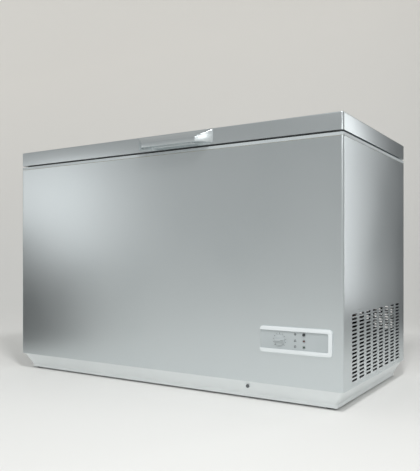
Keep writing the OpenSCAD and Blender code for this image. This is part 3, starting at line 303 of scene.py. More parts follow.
def moulded_plastic(name, dark, light, roughness, ior=1.53, grain=0.4, depth=0.02):
    """Plastic or paint: a nearly even colour and a fine grain."""
    material, tree, shader, place = new_surface(name, Roughness=roughness, IOR=ior)
    grains = add_node(tree, "TexNoise", [("Vector", place)], Scale=1 / (grain * MM), Detail=2.0)
    cloud = add_node(tree, "TexNoise", [("Vector", place)], Scale=12.0, Detail=2.0)
    tint(tree, shader, cloud.outputs["Fac"], dark, light)
    tree.links.new(spread(tree, cloud.outputs["Fac"], roughness - 0.04, roughness + 0.05),
                   shader.inputs["Roughness"])
    bump(tree, shader, grains.outputs["Fac"], depth * MM, 0.4)
    return material


def galvanised_sheet():
    """Hot-dip zinc on sheet: a dull metal with spangles about 9 mm across."""
    spangle = 9 * MM
    material, tree, shader, place = new_surface("galvanised sheet", Metallic=1.0, Roughness=0.48)
    cells = add_node(tree, "TexVoronoi", [("Vector", place)], Scale=1 / spangle)
    grey = add_node(tree, "SeparateColor", [("Color", cells.outputs["Color"])]).outputs["Red"]
    tint(tree, shader, grey, "#8F9497", "#B0B4B6")
    tree.links.new(spread(tree, grey, 0.40, 0.56), shader.inputs["Roughness"])
    return material


def plated_steel(name, dark, light, roughness):
    """Plated, oiled or primed steel with faint handling marks."""
    material, tree, shader, place = new_surface(name, Metallic=1.0, Roughness=roughness)
    marks = add_node(tree, "TexNoise", [("Vector", place)], Scale=1 / (4 * MM), Detail=4.0)
    tint(tree, shader, marks.outputs["Fac"], dark, light)
    tree.links.new(spread(tree, marks.outputs["Fac"], roughness - 0.08, roughness + 0.12),
                   shader.inputs["Roughness"])
    return material


def moulded_rubber(name, dark, light, roughness=0.72):
    """Moulded rubber: dark, dull, with a fine dusty grain."""
    material, tree, shader, place = new_surface(name, Roughness=roughness, IOR=1.52)
    grain = add_node(tree, "TexNoise", [("Vector", place)], Scale=1 / (0.8 * MM), Detail=3.0)
    tint(tree, shader, grain.outputs["Fac"], dark, light)
    bump(tree, shader, grain.outputs["Fac"], 0.03 * MM, 0.5)
    return material


def stucco_aluminium():
    """White-lacquered aluminium embossed with a stucco pattern about 7 mm across."""
    pebble = 7 * MM
    material, tree, shader, place = new_surface("stucco-embossed white aluminium",
                                                Metallic=0.15, Roughness=0.34)
    pebbles = add_node(tree, "TexVoronoi", [("Vector", place)], feature="SMOOTH_F1", Scale=1 / pebble,
                       Smoothness=0.6)
    cloud = add_node(tree, "TexNoise", [("Vector", place)], Scale=5.0, Detail=2.0)
    tint(tree, shader, cloud.outputs["Fac"], "#E4E7E8", "#F0F2F2")
    bump(tree, shader, pebbles.outputs["Distance"], 0.5 * MM, 0.6)
    return material


def blown_foam():
    """Blown polyurethane foam: buff, matt, with an open cell of about 1.5 mm where it is cut."""
    material, tree, shader, place = new_surface("polyurethane foam", Roughness=0.95, IOR=1.5)
    cells = add_node(tree, "TexVoronoi", [("Vector", place)], Scale=1 / (1.5 * MM))
    tint(tree, shader, cells.outputs["Distance"], "#B9AA7A", "#DCD0A4")
    bump(tree, shader, cells.outputs["Distance"], 0.4 * MM, 0.8)
    return material


def drawn_copper():
    """Drawn copper tube, a little tarnished, its colour also kept dark as painted shade for the dim machine
    bay.
    """
    material, tree, shader, place = new_surface("drawn copper", Metallic=1.0, Roughness=0.34)
    tarnish = add_node(tree, "TexNoise", [("Vector", place)], Scale=40.0, Detail=4.0)
    # partly painted shade: both copper colours are darker than tarnish alone, so the machine bay reads dark;
    # the noise between them is tarnish
    tint(tree, shader, tarnish.outputs["Fac"], "#4E3121", "#8E5F43")
    tree.links.new(spread(tree, tarnish.outputs["Fac"], 0.28, 0.5), shader.inputs["Roughness"])
    return material


def stoved_enamel():
    """Black stoving enamel on the compressor's drawn shell: semi-gloss with a soft orange peel."""
    material, tree, shader, place = new_surface("black stoving enamel", Roughness=0.3, IOR=1.5)
    peel = add_node(tree, "TexNoise", [("Vector", place)], Scale=1 / (3 * MM), Detail=2.0)
    tint(tree, shader, peel.outputs["Fac"], "#0E0E10", "#1A1B1D")
    bump(tree, shader, peel.outputs["Fac"], 0.06 * MM, 0.5)
    return material


def tinted_acrylic(name, deep, pale):
    """Glossy tinted acrylic of an unlit indicator lamp, darker towards its rim."""
    material, tree, shader, place = new_surface(name, Roughness=0.12, IOR=1.49, Transmission_Weight=0.25)
    facing = add_node(tree, "LayerWeight", Blend=0.4).outputs["Facing"]
    tint(tree, shader, facing, pale, deep)
    return material


def frosted_lens():
    """Frosted polycarbonate lamp cover, milky and slightly grained."""
    material, tree, shader, place = new_surface("frosted polycarbonate", Roughness=0.42, IOR=1.58,
                                                Transmission_Weight=0.55)
    grain = add_node(tree, "TexNoise", [("Vector", place)], Scale=1 / (1.2 * MM), Detail=2.0)
    tint(tree, shader, grain.outputs["Fac"], "#E8E9E4", "#F6F6F2")
    bump(tree, shader, grain.outputs["Fac"], 0.05 * MM, 0.5)
    return material


def printing_ink():
    """Dark grey pad-printing ink, dull and very slightly uneven."""
    material, tree, shader, place = new_surface("dark grey printing ink", Roughness=0.6, IOR=1.5)
    patches = add_node(tree, "TexNoise", [("Vector", place)], Scale=1 / (0.6 * MM), Detail=2.0)
    tint(tree, shader, patches.outputs["Fac"], "#2C3032", "#3C4043")
    return material


LACQUER = lacquered_steel()
SKIRT_PAINTED_LIGHT_LACQUER = skirt_painted_light_lacquer()
BAY_SHEET = plated_steel("dark primed sheet", "#26282A", "#35383A", 0.6)
ZINC_SHEET = galvanised_sheet()
ZINC_PLATE = plated_steel("bright zinc plating", "#8D9194", "#C2C5C6", 0.32)
SPRING_WIRE = plated_steel("oiled spring wire", "#4A4B4D", "#7C7E80", 0.3)
PALE_STYRENE = moulded_plastic("pale grey polystyrene", "#A7AEB0", "#B3B9BB", 0.42, ior=1.59)
WHITE_STYRENE = moulded_plastic("white polystyrene", "#E3E6E6", "#EEF0F0", 0.38, ior=1.59)
SILVER_ABS = moulded_plastic("silver-white ABS", "#D9DFE1", "#E2E7E9", 0.33, ior=1.54, grain=0.6)
GREY_ABS = moulded_plastic("silver-grey ABS", "#A9B0B2", "#B5BCBE", 0.5, ior=1.54, grain=0.5)
BLACK_PLASTIC = moulded_plastic("black polypropylene", "#141415", "#202122", 0.5, ior=1.49, grain=0.8,
                                depth=0.05)
BUTTON_PLASTIC = moulded_plastic("dark grey ABS", "#2E3234", "#3A3E40", 0.4, ior=1.54)
COATED_WIRE = moulded_plastic("polyethylene-coated wire", "#E6E8E8", "#F1F2F2", 0.3, ior=1.51, grain=2.0)
BLACK_RUBBER = moulded_rubber("black nitrile rubber", "#121213", "#1E1E20")
GREY_RUBBER = moulded_rubber("grey nitrile rubber", "#5A5E60", "#6C7072")
GASKET_VINYL = moulded_rubber("grey soft vinyl", "#3A3D3F", "#4A4E50", 0.55)
STUCCO = stucco_aluminium()
FOAM = blown_foam()
COPPER = drawn_copper()
# the pipes' black paint is partly painted shade, keeping the machine bay dark
PAINTED_PIPE = moulded_plastic("black-painted copper pipe", "#101112", "#1A1B1C", 0.45, ior=1.5, grain=1.0)
ENAMEL = stoved_enamel()
RED_LAMP = tinted_acrylic("unlit red acrylic", "#2A0D0C", "#5A1C18")
GREEN_LAMP = tinted_acrylic("unlit green acrylic", "#0D2416", "#1E4A2E")
LENS = frosted_lens()
INK = printing_ink()

FINISHES = {
    LACQUER: ["cabinet_wrap", "lid_skin", "lid_handle", "side_grille"],
    SKIRT_PAINTED_LIGHT_LACQUER: ["skirt"],
    ZINC_SHEET: ["rear_panel", "base_tray", "rear_cover"],
    BAY_SHEET: ["machine_bay_wall", "compressor_plate"],
    ZINC_PLATE: ["skirt_screws", "rear_cover_screws", "compressor_bolts", "handle_screws", "hinge_screws",
                 "hinge_bracket_left", "hinge_bracket_right", "hinge_leaf_left", "hinge_leaf_right",
                 "hinge_pins", "thermostat"],
    SPRING_WIRE: ["hinge_springs"],
    PALE_STYRENE: ["rim_collar"],
    WHITE_STYRENE: ["lid_inner_panel", "lamp_housing", "control_housing", "drain_stopper",
                    "drain_pipe"],
    SILVER_ABS: ["control_bezel", "drain_collar"],
    GREY_ABS: ["control_fascia", "thermostat_knob", "basket_left_grips", "basket_right_grips"],
    BLACK_PLASTIC: ["wall_spacers", "cable_gland", "starter_box", "wiring_loom", "fast_freeze_switch"],
    BUTTON_PLASTIC: ["fast_freeze_button"],
    COATED_WIRE: ["basket_left", "basket_right"],
    BLACK_RUBBER: ["feet", "compressor_grommets"],
    GREY_RUBBER: ["drain_plug"],
    GASKET_VINYL: ["lid_gasket"],
    STUCCO: ["inner_liner"],
    FOAM: ["cabinet_foam", "lid_foam"],
    COPPER: ["condenser_coil", "evaporator_coil", "filter_drier", "capillary_tube"],
    PAINTED_PIPE: ["discharge_pipe", "suction_pipe"],
    ENAMEL: ["compressor"],
    RED_LAMP: ["alarm_lamp"],
    GREEN_LAMP: ["power_lamp"],
    LENS: ["lamp_lens", "lamp_bulb"],
}
for material, names in FINISHES.items():
    for name in names:
        for place in NODES[name].material_slots:
            place.material = material


# ---------------------------------------------------------------- lid

def lid_shell():
    """Pressed lid skin: rounded upright corners, a softly rolled top edge and a flange folded in below."""
    low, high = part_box("lid_skin")
    corner, roll, flange, sheet = 8 * MM, 4 * MM, 12 * MM, 1 * MM
    shell = block("lid_shell", low, high)
    pick(shell, "EDGE", lambda e: runs_along(e, 2))
    bpy.ops.mesh.bevel(offset=corner, segments=6, affect="EDGES")
    pick(shell, "EDGE", lambda e: middle(e).z > high.z - MM and len(e.link_faces) == 2
         and any(f.normal.z > 0.9 for f in e.link_faces) and any(f.normal.z < 0.5 for f in e.link_faces))
    bpy.ops.mesh.bevel(offset=roll, segments=4, affect="EDGES")
    pick(shell, "FACE", lambda f: f.normal.z < -0.9)
    bpy.ops.mesh.inset(thickness=flange)
    bpy.ops.mesh.delete(type="FACE")
    close_edit()
    modify(shell, "SOLIDIFY", thickness=sheet, offset=-1)
    smooth(shell)
    finish(shell, LACQUER, "lid", "lid_skin")


def lid_grip():
    """Handle with slanted ends, a slope above an upright lip, and a finger space between two end blocks."""
    low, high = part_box("lid_handle")
    width, out = high.x - low.x, high.y - low.y
    run, block_w, lip, wall, edge = 46 * MM, 60 * MM, 15 * MM, 3.5 * MM, 2.2 * MM
    grip = block("lid_grip", low, high)
    pick(grip, "FACE", lambda f: f.normal.y < -0.9)
    bpy.ops.transform.resize(value=((width - 2 * run) / width, 1, 1))
    slope = Vector((0, -(high.z - low.z - lip), out - 2 * MM)).normalized()
    pick(grip, "FACE", lambda f: True)
    bpy.ops.mesh.bisect(plane_co=(0, low.y, low.z + lip), plane_no=slope, clear_outer=True, use_fill=True)
    for x in (low.x + block_w, high.x - block_w):
        pick(grip, "FACE", lambda f: True)
        bpy.ops.mesh.bisect(plane_co=(x, 0, 0), plane_no=(1, 0, 0))
    between = lambda v: low.x + block_w - MM < v.x < high.x - block_w + MM
    pick(grip, "FACE", lambda f: f.normal.z < -0.9 and between(f.calc_center_median())
         and f.calc_center_median().z < low.z + MM)
    bpy.ops.mesh.inset(thickness=wall)
    bpy.ops.mesh.extrude_region_move(TRANSFORM_OT_translate={"value": (0, 0, lip - wall)})
    ease(grip, edge, 3)
    finish(grip, LACQUER, "lid", "lid_handle")


lid_shell()
lid_grip()


# ---------------------------------------------------------------- cabinet

def slanted_skirt():
    """Base skirt with rounded corners: an upright lip, then a slope out to the cabinet's fold."""
    low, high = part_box("skirt")
    slope_in, lip_h, flange, fold = 24 * MM, 11 * MM, 56 * MM, 8 * MM
    corner, lip_roll, sheet = 9 * MM, 2.5 * MM, 1.5 * MM
    skirt = block("base_skirt", (low.x + slope_in, low.y + slope_in, low.z),
                  (high.x - slope_in, high.y - slope_in, low.z + lip_h))
    wide, deep = high.x - low.x, high.y - low.y
    pick(skirt, "FACE", lambda f: f.normal.z > 0.9)
    bpy.ops.mesh.extrude_region_move(TRANSFORM_OT_translate={"value": (0, 0, high.z - low.z - lip_h)})
    bpy.ops.transform.resize(value=(wide / (wide - 2 * slope_in), deep / (deep - 2 * slope_in), 1))
    pick(skirt, "EDGE", lambda e: abs(e.verts[0].co.z - e.verts[1].co.z) > 5 * MM)
    bpy.ops.mesh.bevel(offset=corner, segments=6, affect="EDGES")
    pick(skirt, "FACE", lambda f: f.normal.z > 0.99)
    bpy.ops.mesh.inset(thickness=fold)
    bpy.ops.mesh.delete(type="FACE")
    pick(skirt, "FACE", lambda f: f.normal.z < -0.99)
    bpy.ops.mesh.inset(thickness=flange)
    bpy.ops.mesh.delete(type="FACE")
    pick(skirt, "EDGE", lambda e: abs(middle(e).z - low.z - lip_h) < 0.2 * MM)
    bpy.ops.mesh.bevel(offset=lip_roll, segments=3, affect="EDGES")
    close_edit()
    modify(skirt, "SOLIDIFY", thickness=sheet, offset=-1)
    smooth(skirt, 25)
    finish(skirt, SKIRT_PAINTED_LIGHT_LACQUER, "cabinet", "skirt")


slanted_skirt()


def turned_foot(index, centre):
    """Levelling foot: a pad with a rounded edge, a plain stem and a hexagon nut, all in one dull black."""
    low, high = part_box("feet")
    x, y = centre
    pad_r, pad_h, pad_edge = 20 * MM, 5 * MM, 1.2 * MM
    stem_r, stem_low = 5 * MM, low.z + 4 * MM
    nut_r, nut_h, nut_z, nut_edge = 10 * MM, 5 * MM, low.z + 9 * MM, 0.6 * MM
    pad = round_bar("foot_pad_%d" % index, (x, y, low.z + pad_h / 2), pad_r, pad_h, 2, 48)
    pick(pad, "EDGE", lambda e: abs(e.verts[0].co.z - e.verts[1].co.z) < 0.1 * MM)
    bpy.ops.mesh.bevel(offset=pad_edge, segments=3, affect="EDGES")
    close_edit()
    stem = round_bar("foot_stem_%d" % index, (x, y, (stem_low + high.z) / 2), stem_r, high.z - stem_low,
                     2, 24)
    nut = round_bar("foot_nut_%d" % index, (x, y, nut_z), nut_r, nut_h, 2, 6)
    ease(nut, nut_edge, 2)
    foot = join("foot_%d" % index, [pad, stem, nut])
    smooth(foot)
    finish(foot, BLACK_RUBBER, "cabinet")
    return foot


def feet():
    """Four feet under the skirt's corners."""
    low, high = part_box("feet")
    reach = 20 * MM
    spots = [(x, y) for x in (low.x + reach, high.x - reach) for y in (low.y + reach, high.y - reach)]
    made = [turned_foot(index, spot) for index, spot in enumerate(spots)]
    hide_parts("feet")


feet()


def screw_head(name, centre, radius, height, axis, way):
    """Pan head with a domed edge and a cross recess, facing one way along an axis."""
    head = round_bar(name, centre, radius, height, axis, 32)
    place, out = Vector(centre), Vector((0, 0, 0))
    out[axis] = way
    face = place + out * height / 2
    pick(head, "FACE", lambda f: f.normal.dot(out) > 0.9)
    bpy.ops.mesh.inset(thickness=radius * 0.3)
    close_edit()
    ease(head, height * 0.3, 3, 25)
    across = [index for index in range(3) if index != axis]
    for index in across:
        size = Vector((1, 1, 1)) * radius * 0.24
        size[index] = radius * 1.15
        size[axis] = height * 0.9
        cutter = block("recess", face - size / 2, face + size / 2)
        cut_away(head, cutter)
    smooth(head)
    return head


def screw_row(node, body, spots, radius, height, axis, way, material, shank_r, shank_l):
    """A set of cross-head screws with plain shanks."""
    for index, spot in enumerate(spots):
        out = Vector((0, 0, 0))
        out[axis] = way
        head = screw_head("%s_%d" % (node, index), Vector(spot) + out * height / 2, radius, height,
                          axis, way)
        shank = round_bar("shank", Vector(spot) - out * (shank_l / 2 - 0.1 * MM), shank_r, shank_l, axis, 16)
        finish(join(head.name, [head, shank]), material, body)
    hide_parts(node)


def rear_screws():
    """Cross-head screws of the rear cover and of the lower hinge brackets."""
    low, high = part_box("rear_cover_screws")
    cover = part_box("rear_cover")
    xs = (low.x + 4 * MM, high.x - 4 * MM)
    zs = (low.z + 4 * MM, (low.z + high.z) / 2, high.z - 4 * MM)
    face = cover[1].y
    screw_row("rear_cover_screws", "cabinet", [(x, face, z) for x in xs for z in zs], 4 * MM, 2 * MM, 1, 1,
              ZINC_PLATE, 1.9 * MM, face - low.y)
    low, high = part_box("hinge_screws")
    z = (low.z + high.z) / 2
    outer = high.x - 5 * MM
    spots = [(side * x, high.y - 2.5 * MM, z) for side in (-1, 1) for x in (outer, outer - 28 * MM)]
    screw_row("hinge_screws", "cabinet", spots, 5 * MM, 2.5 * MM, 1, 1, ZINC_PLATE, 2.4 * MM,
              high.y - 2.5 * MM - low.y)


rear_screws()


# ---------------------------------------------------------------- lid details

def ring(name, low, high, inset, width, corner):
    """A rectangular ring with round corners, set in from a box."""
    def slab(inset, low_z, high_z, radius):
        piece = block(name, (low.x + inset, low.y + inset, low_z), (high.x - inset, high.y - inset, high_z))
        pick(piece, "EDGE", lambda e: runs_along(e, 2))
        bpy.ops.mesh.bevel(offset=radius, segments=5, affect="EDGES")
        close_edit()
        return piece
    outer = slab(inset, low.z, high.z, corner)
    cut_away(outer, slab(inset + width, low.z - MM, high.z + MM, max(corner - width, 2 * MM)))
    return outer


def bellows_gasket():
    """Magnetic seal: a flat magnet pocket below and a narrower soft fold above it."""
    low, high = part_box("lid_gasket")
    waist = low.z + 3.4 * MM
    pocket = ring("gasket_pocket", low, Vector((high.x, high.y, waist)), 0, 24 * MM, 6 * MM)
    fold = ring("gasket_fold", Vector((low.x, low.y, waist - 0.4 * MM)), high, 4 * MM, 15 * MM, 5 * MM)
    ease(pocket, 1.0 * MM, 2)
    ease(fold, 0.8 * MM, 2)
    finish(join("bellows_gasket", [pocket, fold]), GASKET_VINYL, "lid", "lid_gasket")


def lamp_cover():
    """Clip-in cover of the lid light with fine grooves across the middle of its underside."""
    low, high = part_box("lamp_lens")
    corner, step, grooved, groove_rim, groove = 3 * MM, 6 * MM, 60 * MM, 1 * MM, 0.7 * MM
    cover = block("lamp_cover", low, high)
    pick(cover, "EDGE", lambda e: runs_along(e, 2))
    bpy.ops.mesh.bevel(offset=corner, segments=4, affect="EDGES")
    count = int((high.x - low.x - 4 * step) / step)
    for index in range(count):
        x = low.x + 2 * step + index * step
        pick(cover, "FACE", lambda f: True)
        bpy.ops.mesh.bisect(plane_co=(x, 0, 0), plane_no=(1, 0, 0))
    middle_x = (low.x + high.x) / 2
    pick(cover, "FACE", lambda f: f.normal.z < -0.9 and abs(f.calc_center_median().x - middle_x) < grooved
         and int((f.calc_center_median().x - low.x) / step) % 2 == 0)
    bpy.ops.mesh.inset(thickness=groove_rim, use_individual=True)
    bpy.ops.transform.translate(value=(0, 0, groove))
    smooth(cover, 30)
    finish(cover, LENS, "lid", "lamp_lens")


bellows_gasket()
lamp_cover()


# ---------------------------------------------------------------- wire baskets

def wire(name, points, radius, sides=10):
    """A round wire bent along a list of points."""
    deselect()
    curve = bpy.data.curves.new(name, "CURVE")
    curve.dimensions = "3D"
    curve.bevel_depth = radius
    curve.bevel_resolution = 2
    curve.use_fill_caps = True
    run = curve.splines.new("POLY")
    run.points.add(len(points) - 1)
    for point, co in zip(run.points, points):
        point.co = (*co, 1)
    piece = bpy.data.objects.new(name, curve)
    bpy.context.scene.collection.objects.link(piece)
    take(piece)
    bpy.ops.object.convert(target="MESH")
    return bpy.context.object


def rounded_loop(low, high, z, radius, steps=5):
    """Points round a rectangle with round corners, closed."""
    points = []
    for x, y, start in ((high.x - radius, high.y - radius, 0), (low.x + radius, high.y - radius, 90),
                        (low.x + radius, low.y + radius, 180), (high.x - radius, low.y + radius, 270)):
        for step in range(steps + 1):
            angle = math.radians(start + 90 * step / steps)
            points.append((x + radius * math.cos(angle), y + radius * math.sin(angle), z))
    return points + points[:1]


def wire_basket(node):
    """Hanging basket: coated rim frame, belt and floor wires, U-shaped ribs and two hooked end bars."""
    low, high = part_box(node)
    frame_r, rib_r, corner = 2.0 * MM, 1.2 * MM, 14 * MM
    hook = 27 * MM
    body_low = Vector((low.x + frame_r, low.y + hook, low.z + frame_r))
    body_high = Vector((high.x - frame_r, high.y - hook, high.z - frame_r))
    made = [wire("rim", rounded_loop(body_low, body_high, high.z - frame_r, corner), frame_r),
            wire("belt", rounded_loop(body_low, body_high, (low.z + high.z) / 2, corner), frame_r * 0.8),
            wire("floor_frame", rounded_loop(body_low, body_high, low.z + frame_r, corner), frame_r * 0.8)]
    inside = frame_r + rib_r * 0.4

    def rib(a, axis):
        x0, x1 = body_low[axis] + inside, body_high[axis] - inside
        top, floor, bend = high.z - frame_r, low.z + frame_r + rib_r, 8 * MM
        outline = [(x0, top), (x0, floor + bend), (x0 + bend * 0.3, floor + bend * 0.3), (x0 + bend, floor),
                   (x1 - bend, floor), (x1 - bend * 0.3, floor + bend * 0.3), (x1, floor + bend), (x1, top)]
        made.append(wire("rib", [(u, a, v) if axis == 0 else (a, u, v) for u, v in outline], rib_r))

    across = 22
    for index in range(across):
        y = body_low.y + corner + (body_high.y - body_low.y - 2 * corner) * index / (across - 1)
        rib(y, 0)
    along = 9
    for index in range(along):
        x = body_low.x + corner + (body_high.x - body_low.x - 2 * corner) * index / (along - 1)
        rib(x, 1)
    for end, way in ((low.y, 1), (high.y, -1)):
        y_out, y_in = end + frame_r * way, end + (hook + frame_r) * way
        x0, x1 = low.x + 18 * MM, high.x - 18 * MM
        z = high.z - frame_r
        made.append(wire("hook_bar", [(x0, y_in, z), (x0, y_out + 6 * MM * way, z),
                                      (x0 + 2 * MM, y_out + 2 * MM * way, z), (x0 + 6 * MM, y_out, z),
                                      (x1 - 6 * MM, y_out, z), (x1 - 2 * MM, y_out + 2 * MM * way, z),
                                      (x1, y_out + 6 * MM * way, z), (x1, y_in, z)], frame_r))
    basket = join(node + "_wires", made)
    smooth(basket, 50)
    finish(basket, COATED_WIRE, node, node)


def basket_grips(node, body):
    """Clip-on grips over the hooked bars: rounded, with a shallow dish on top."""
    low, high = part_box(node)
    grip_l, corner, dish_rim, dish, edge = 22.5 * MM, 5 * MM, 3 * MM, 1.2 * MM, 0.8 * MM
    for end, way in ((low.y, 1), (high.y, -1)):
        far = end + grip_l * way
        grip = block(node + ("_front" if way > 0 else "_rear"), (low.x, min(end, far), low.z),
                     (high.x, max(end, far), high.z))
        pick(grip, "EDGE", lambda e: runs_along(e, 2))
        bpy.ops.mesh.bevel(offset=corner, segments=4, affect="EDGES")
        pick(grip, "FACE", lambda f: f.normal.z > 0.9)
        bpy.ops.mesh.inset(thickness=dish_rim)
        bpy.ops.transform.translate(value=(0, 0, -dish))
        ease(grip, edge, 2)
        finish(grip, GREY_ABS, body)
    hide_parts(node)


for node in ("basket_left", "basket_right"):
    wire_basket(node)
    basket_grips(node + "_grips", node)


# ---------------------------------------------------------------- control panel

def panel_frame():
    """Pale frame round the panel: soft front edges, open at its left end."""
    eased_copy("control_bezel", "cabinet", 1.4 * MM, SILVER_ABS, 3)


def dial_knob():
    """Thermostat knob: a low round skirt, a rounded grip bar and a pointer line."""
    low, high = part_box("thermostat_knob")
    x, z = (low.x + high.x) / 2, (low.z + high.z) / 2
    radius = (high.x - low.x) / 2
    base = round_bar("dial_knob", (x, high.y - 1.3 * MM, z), radius, 2.6 * MM, 1, 64)
    ease(base, 0.8 * MM, 3)
    bar_half_w, bar_half_h = radius * 0.86, 4 * MM
    bar = block("dial_bar", (x - bar_half_w, low.y, z - bar_half_h),
                (x + bar_half_w, high.y - 2 * MM, z + bar_half_h))
    pick(bar, "EDGE", lambda e: runs_along(e, 1))
    bpy.ops.mesh.bevel(offset=3.6 * MM, segments=5, affect="EDGES")
    ease(bar, 1.2 * MM, 3)
    finish(join("dial_knob", [base, bar]), GREY_ABS, "thermostat_knob", "thermostat_knob")
    mark = block("dial_pointer", (x + radius * 0.3, low.y, z - 0.6 * MM),
                 (x + radius * 0.8, low.y + 0.4 * MM, z + 0.6 * MM))
    finish(mark, INK, "thermostat_knob")


def panel_marks():
    """Printed scale round the knob and plain line icons in a column beside the lamps, all generic."""
    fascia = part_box("control_fascia")
    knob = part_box("thermostat_knob")
    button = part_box("fast_freeze_button")
    face = fascia[0].y
    depth = 0.15 * MM
    cx, cz = (knob[0].x + knob[1].x) / 2, (knob[0].z + knob[1].z) / 2
    radius = (knob[1].x - knob[0].x) / 2
    bx = (button[0].x + button[1].x) / 2
    made = []

    def stroke(x, z, wide, high, turn=0.0):
        piece = block("stroke", (-wide / 2, -depth / 2, -high / 2), (wide / 2, depth / 2, high / 2))
        piece.rotation_euler = (0, turn, 0)
        piece.location = (x, face - depth / 2, z)
        settle(piece)
        made.append(piece)

    for index in range(11):
        angle = math.radians(225 - 27 * index)
        out = radius + 3.8 * MM
        long = (4.4 if index % 5 == 0 else 3.0) * MM
        stroke(cx + out * math.cos(angle), cz + out * math.sin(angle), long, 1.1 * MM, -angle)
    zs = [(button[0].z + button[1].z) / 2] + [(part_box(n)[0].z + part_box(n)[1].z) / 2
                                              for n in ("alarm_lamp", "power_lamp")]
    ix = bx - 29 * MM
    lamp_ring = 4.6 * MM
    for turn in (0, 60, 120):
        stroke(ix, zs[0], 9 * MM, 1.2 * MM, math.radians(turn))
    for turn in (60, 120):
        stroke(ix + (2 if turn == 60 else -2) * MM, zs[1] + 0.3 * MM, 7.4 * MM, 1.2 * MM, math.radians(turn))
    stroke(ix, zs[1] - 2.6 * MM, 7.6 * MM, 1.2 * MM)
    for index in range(8):
        angle = math.radians(110 + 320 * index / 7)
        stroke(ix + 3 * MM * math.cos(angle), zs[2] + 3 * MM * math.sin(angle), 1.2 * MM, 2.8 * MM, -angle)
    stroke(ix, zs[2] + 3 * MM, 1.2 * MM, 3.4 * MM)
    for z in zs[1:]:
        for index in range(20):
            angle = 2 * math.pi * index / 20
            across, up = lamp_ring * math.cos(angle), lamp_ring * math.sin(angle)
            stroke(bx + across, z + up, 0.6 * MM, 1.6 * MM, -angle)
    finish(join("panel_marks", made), INK, "cabinet")


def push_button():
    """Fast-freeze button with a dished face."""
    low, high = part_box("fast_freeze_button")
    x, z = (low.x + high.x) / 2, (low.z + high.z) / 2
    radius, rim_w, dish_w, dish = 4.5 * MM, 1.1 * MM, 1.4 * MM, 0.5 * MM
    button = round_bar("push_button", (x, (low.y + high.y) / 2, z), radius, high.y - low.y, 1, 40)
    pick(button, "FACE", lambda f: f.normal.y < -0.9)
    bpy.ops.mesh.inset(thickness=rim_w)
    bpy.ops.mesh.inset(thickness=dish_w)
    bpy.ops.transform.translate(value=(0, dish, 0))
    close_edit()
    ease(button, 0.4 * MM, 3)
    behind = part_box("control_fascia")[1].y + 1.1 * MM
    collar = round_bar("button_collar", (x, behind, z), radius + MM, 1.8 * MM, 1, 40)
    finish(join("push_button", [button, collar]), BUTTON_PLASTIC, "fast_freeze_button",
           "fast_freeze_button")


def domed_lamp(node, material):
    """Indicator lamp with a low dome."""
    low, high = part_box(node)
    x, z = (low.x + high.x) / 2, (low.z + high.z) / 2
    stem = round_bar(node + "_dome", (x, (low.y + high.y) / 2, z), 3 * MM, high.y - low.y, 1, 32)
    pick(stem, "FACE", lambda f: f.normal.y < -0.9)
    bpy.ops.mesh.inset(thickness=1.3 * MM)
    close_edit()
    ease(stem, 0.35 * MM, 3)
    collar = round_bar("lamp_collar", (x, high.y - 3.5 * MM, z), 4 * MM, 7 * MM, 1, 32)
    finish(join(node + "_dome", [stem, collar]), material, "cabinet", node)


panel_frame()
dial_knob()
push_button()
domed_lamp("alarm_lamp", RED_LAMP)
domed_lamp("power_lamp", GREEN_LAMP)
panel_marks()


# ---------------------------------------------------------------- studio

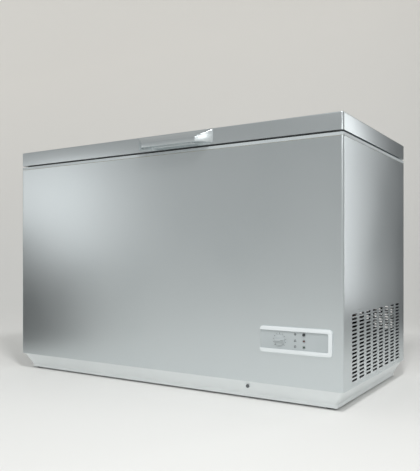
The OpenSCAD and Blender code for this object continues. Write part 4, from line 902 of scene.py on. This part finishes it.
def studio():
    """Pale sweep whose colour is painted lighter upwards as painted light, four lamps, four dark cards and a
    pale world that is dimmer in reflections.
    """
    sweep_w, sweep_d, sweep_y, sweep_rise, sweep_curve = 18, 11.5, -1.25, 6, 3.4
    far = sweep_y + sweep_d / 2 - 0.1
    deselect()
    bpy.ops.mesh.primitive_plane_add(size=1, location=(0, sweep_y, 0))
    sweep = bpy.context.object
    sweep.name = "studio_sweep"
    bpy.ops.transform.resize(value=(sweep_w, sweep_d, 1))
    settle(sweep)
    pick(sweep, "EDGE", lambda e: runs_along(e, 0) and middle(e).y > far)
    bpy.ops.mesh.extrude_edges_move(TRANSFORM_OT_translate={"value": (0, 0, sweep_rise)})
    pick(sweep, "EDGE", lambda e: runs_along(e, 0) and middle(e).y > far and abs(middle(e).z) < 0.01)
    bpy.ops.mesh.bevel(offset=sweep_curve, segments=24, affect="EDGES")
    smooth(sweep)
    material, tree, shader, place = new_surface("pale studio paper painted lighter upwards", Roughness=0.8)
    height = add_node(tree, "SeparateXYZ", [("Vector", place)]).outputs["Z"]
    # painted light: the paper's colour runs greyer at the floor and paler up the sweep
    painted_light_rise = add_node(tree, "MapRange", [("Value", height)], From_Min=0.0, From_Max=3.2)
    tint(tree, shader, painted_light_rise.outputs["Result"], "#DDDDDB", "#F1EEE9")
    sweep.data.materials.append(material)

    black, tree, shader, place = new_surface("black studio felt", Roughness=0.9)
    shader.inputs["Base Color"].default_value = colour("#161718")
    cards = [block("card_behind_right", (0.57, 1.5, 0), (3.2, 1.52, 2.4)),
             block("card_front_left", (-3.4, -1.37, 0.0), (-1.75, -1.35, 0.64)),
             block("card_floor_left", (-3.4, -1.33, 0.002), (-1.0, -0.62, 0.012)),
             block("card_front_left_low", (-1.75, -1.37, 0.0), (-1.42, -1.35, 0.36))]
    for card in cards:
        card.data.materials.append(black)

    def lamp(name, place, aim, size_x, size_y, power, tone="#FFFFFF"):
        data = bpy.data.lights.new(name, "AREA")
        data.shape = "RECTANGLE"
        data.size, data.size_y = size_x, size_y
        data.energy = power
        data.color = colour(tone)[:3]
        made = bpy.data.objects.new(name, data)
        made.location = place
        made.rotation_euler = (Vector(place) - Vector(aim)).to_track_quat("Z", "Y").to_euler()
        bpy.context.scene.collection.objects.link(made)

    lamp("soft_left", (-2.15, -1.9, 0.85), (-0.47, -0.34, 0.6), 0.8, 0.8, 1.9)
    lamp("strip_right", (1.25, 0.75, 0.85), (0.69, -0.3, 0.75), 0.2, 1.3, 2.5)
    lamp("soft_grip", (1.76, -1.57, 1.26), (0.22, -0.36, 0.86), 0.3, 0.3, 3)
    lamp("key_top", (1.1, -1.35, 2.6), (0, -0.3, 0.6), 0.35, 0.35, 38)

    world = bpy.data.worlds.new("studio world")
    bpy.context.scene.world = world
    world.use_nodes = True
    tree = world.node_tree
    path = add_node(tree, "LightPath")
    way = add_node(tree, "TexCoord").outputs["Generated"]
    height = add_node(tree, "SeparateXYZ", [("Vector", way)]).outputs["Z"]
    mirrored = add_node(tree, "MapRange", [("Value", height)], From_Max=0.2, To_Min=0.5, To_Max=0.36)
    strength = add_node(tree, "Mix", [("Factor", path.outputs["Is Glossy Ray"]),
                                      ("B", mirrored.outputs["Result"])], A=0.86)
    background = tree.nodes["Background"]
    background.inputs["Color"].default_value = colour("#F4F5F4")
    tree.links.new(strength.outputs["Result"], background.inputs["Strength"])
    bpy.context.scene.view_settings.view_transform = "Standard"


studio()
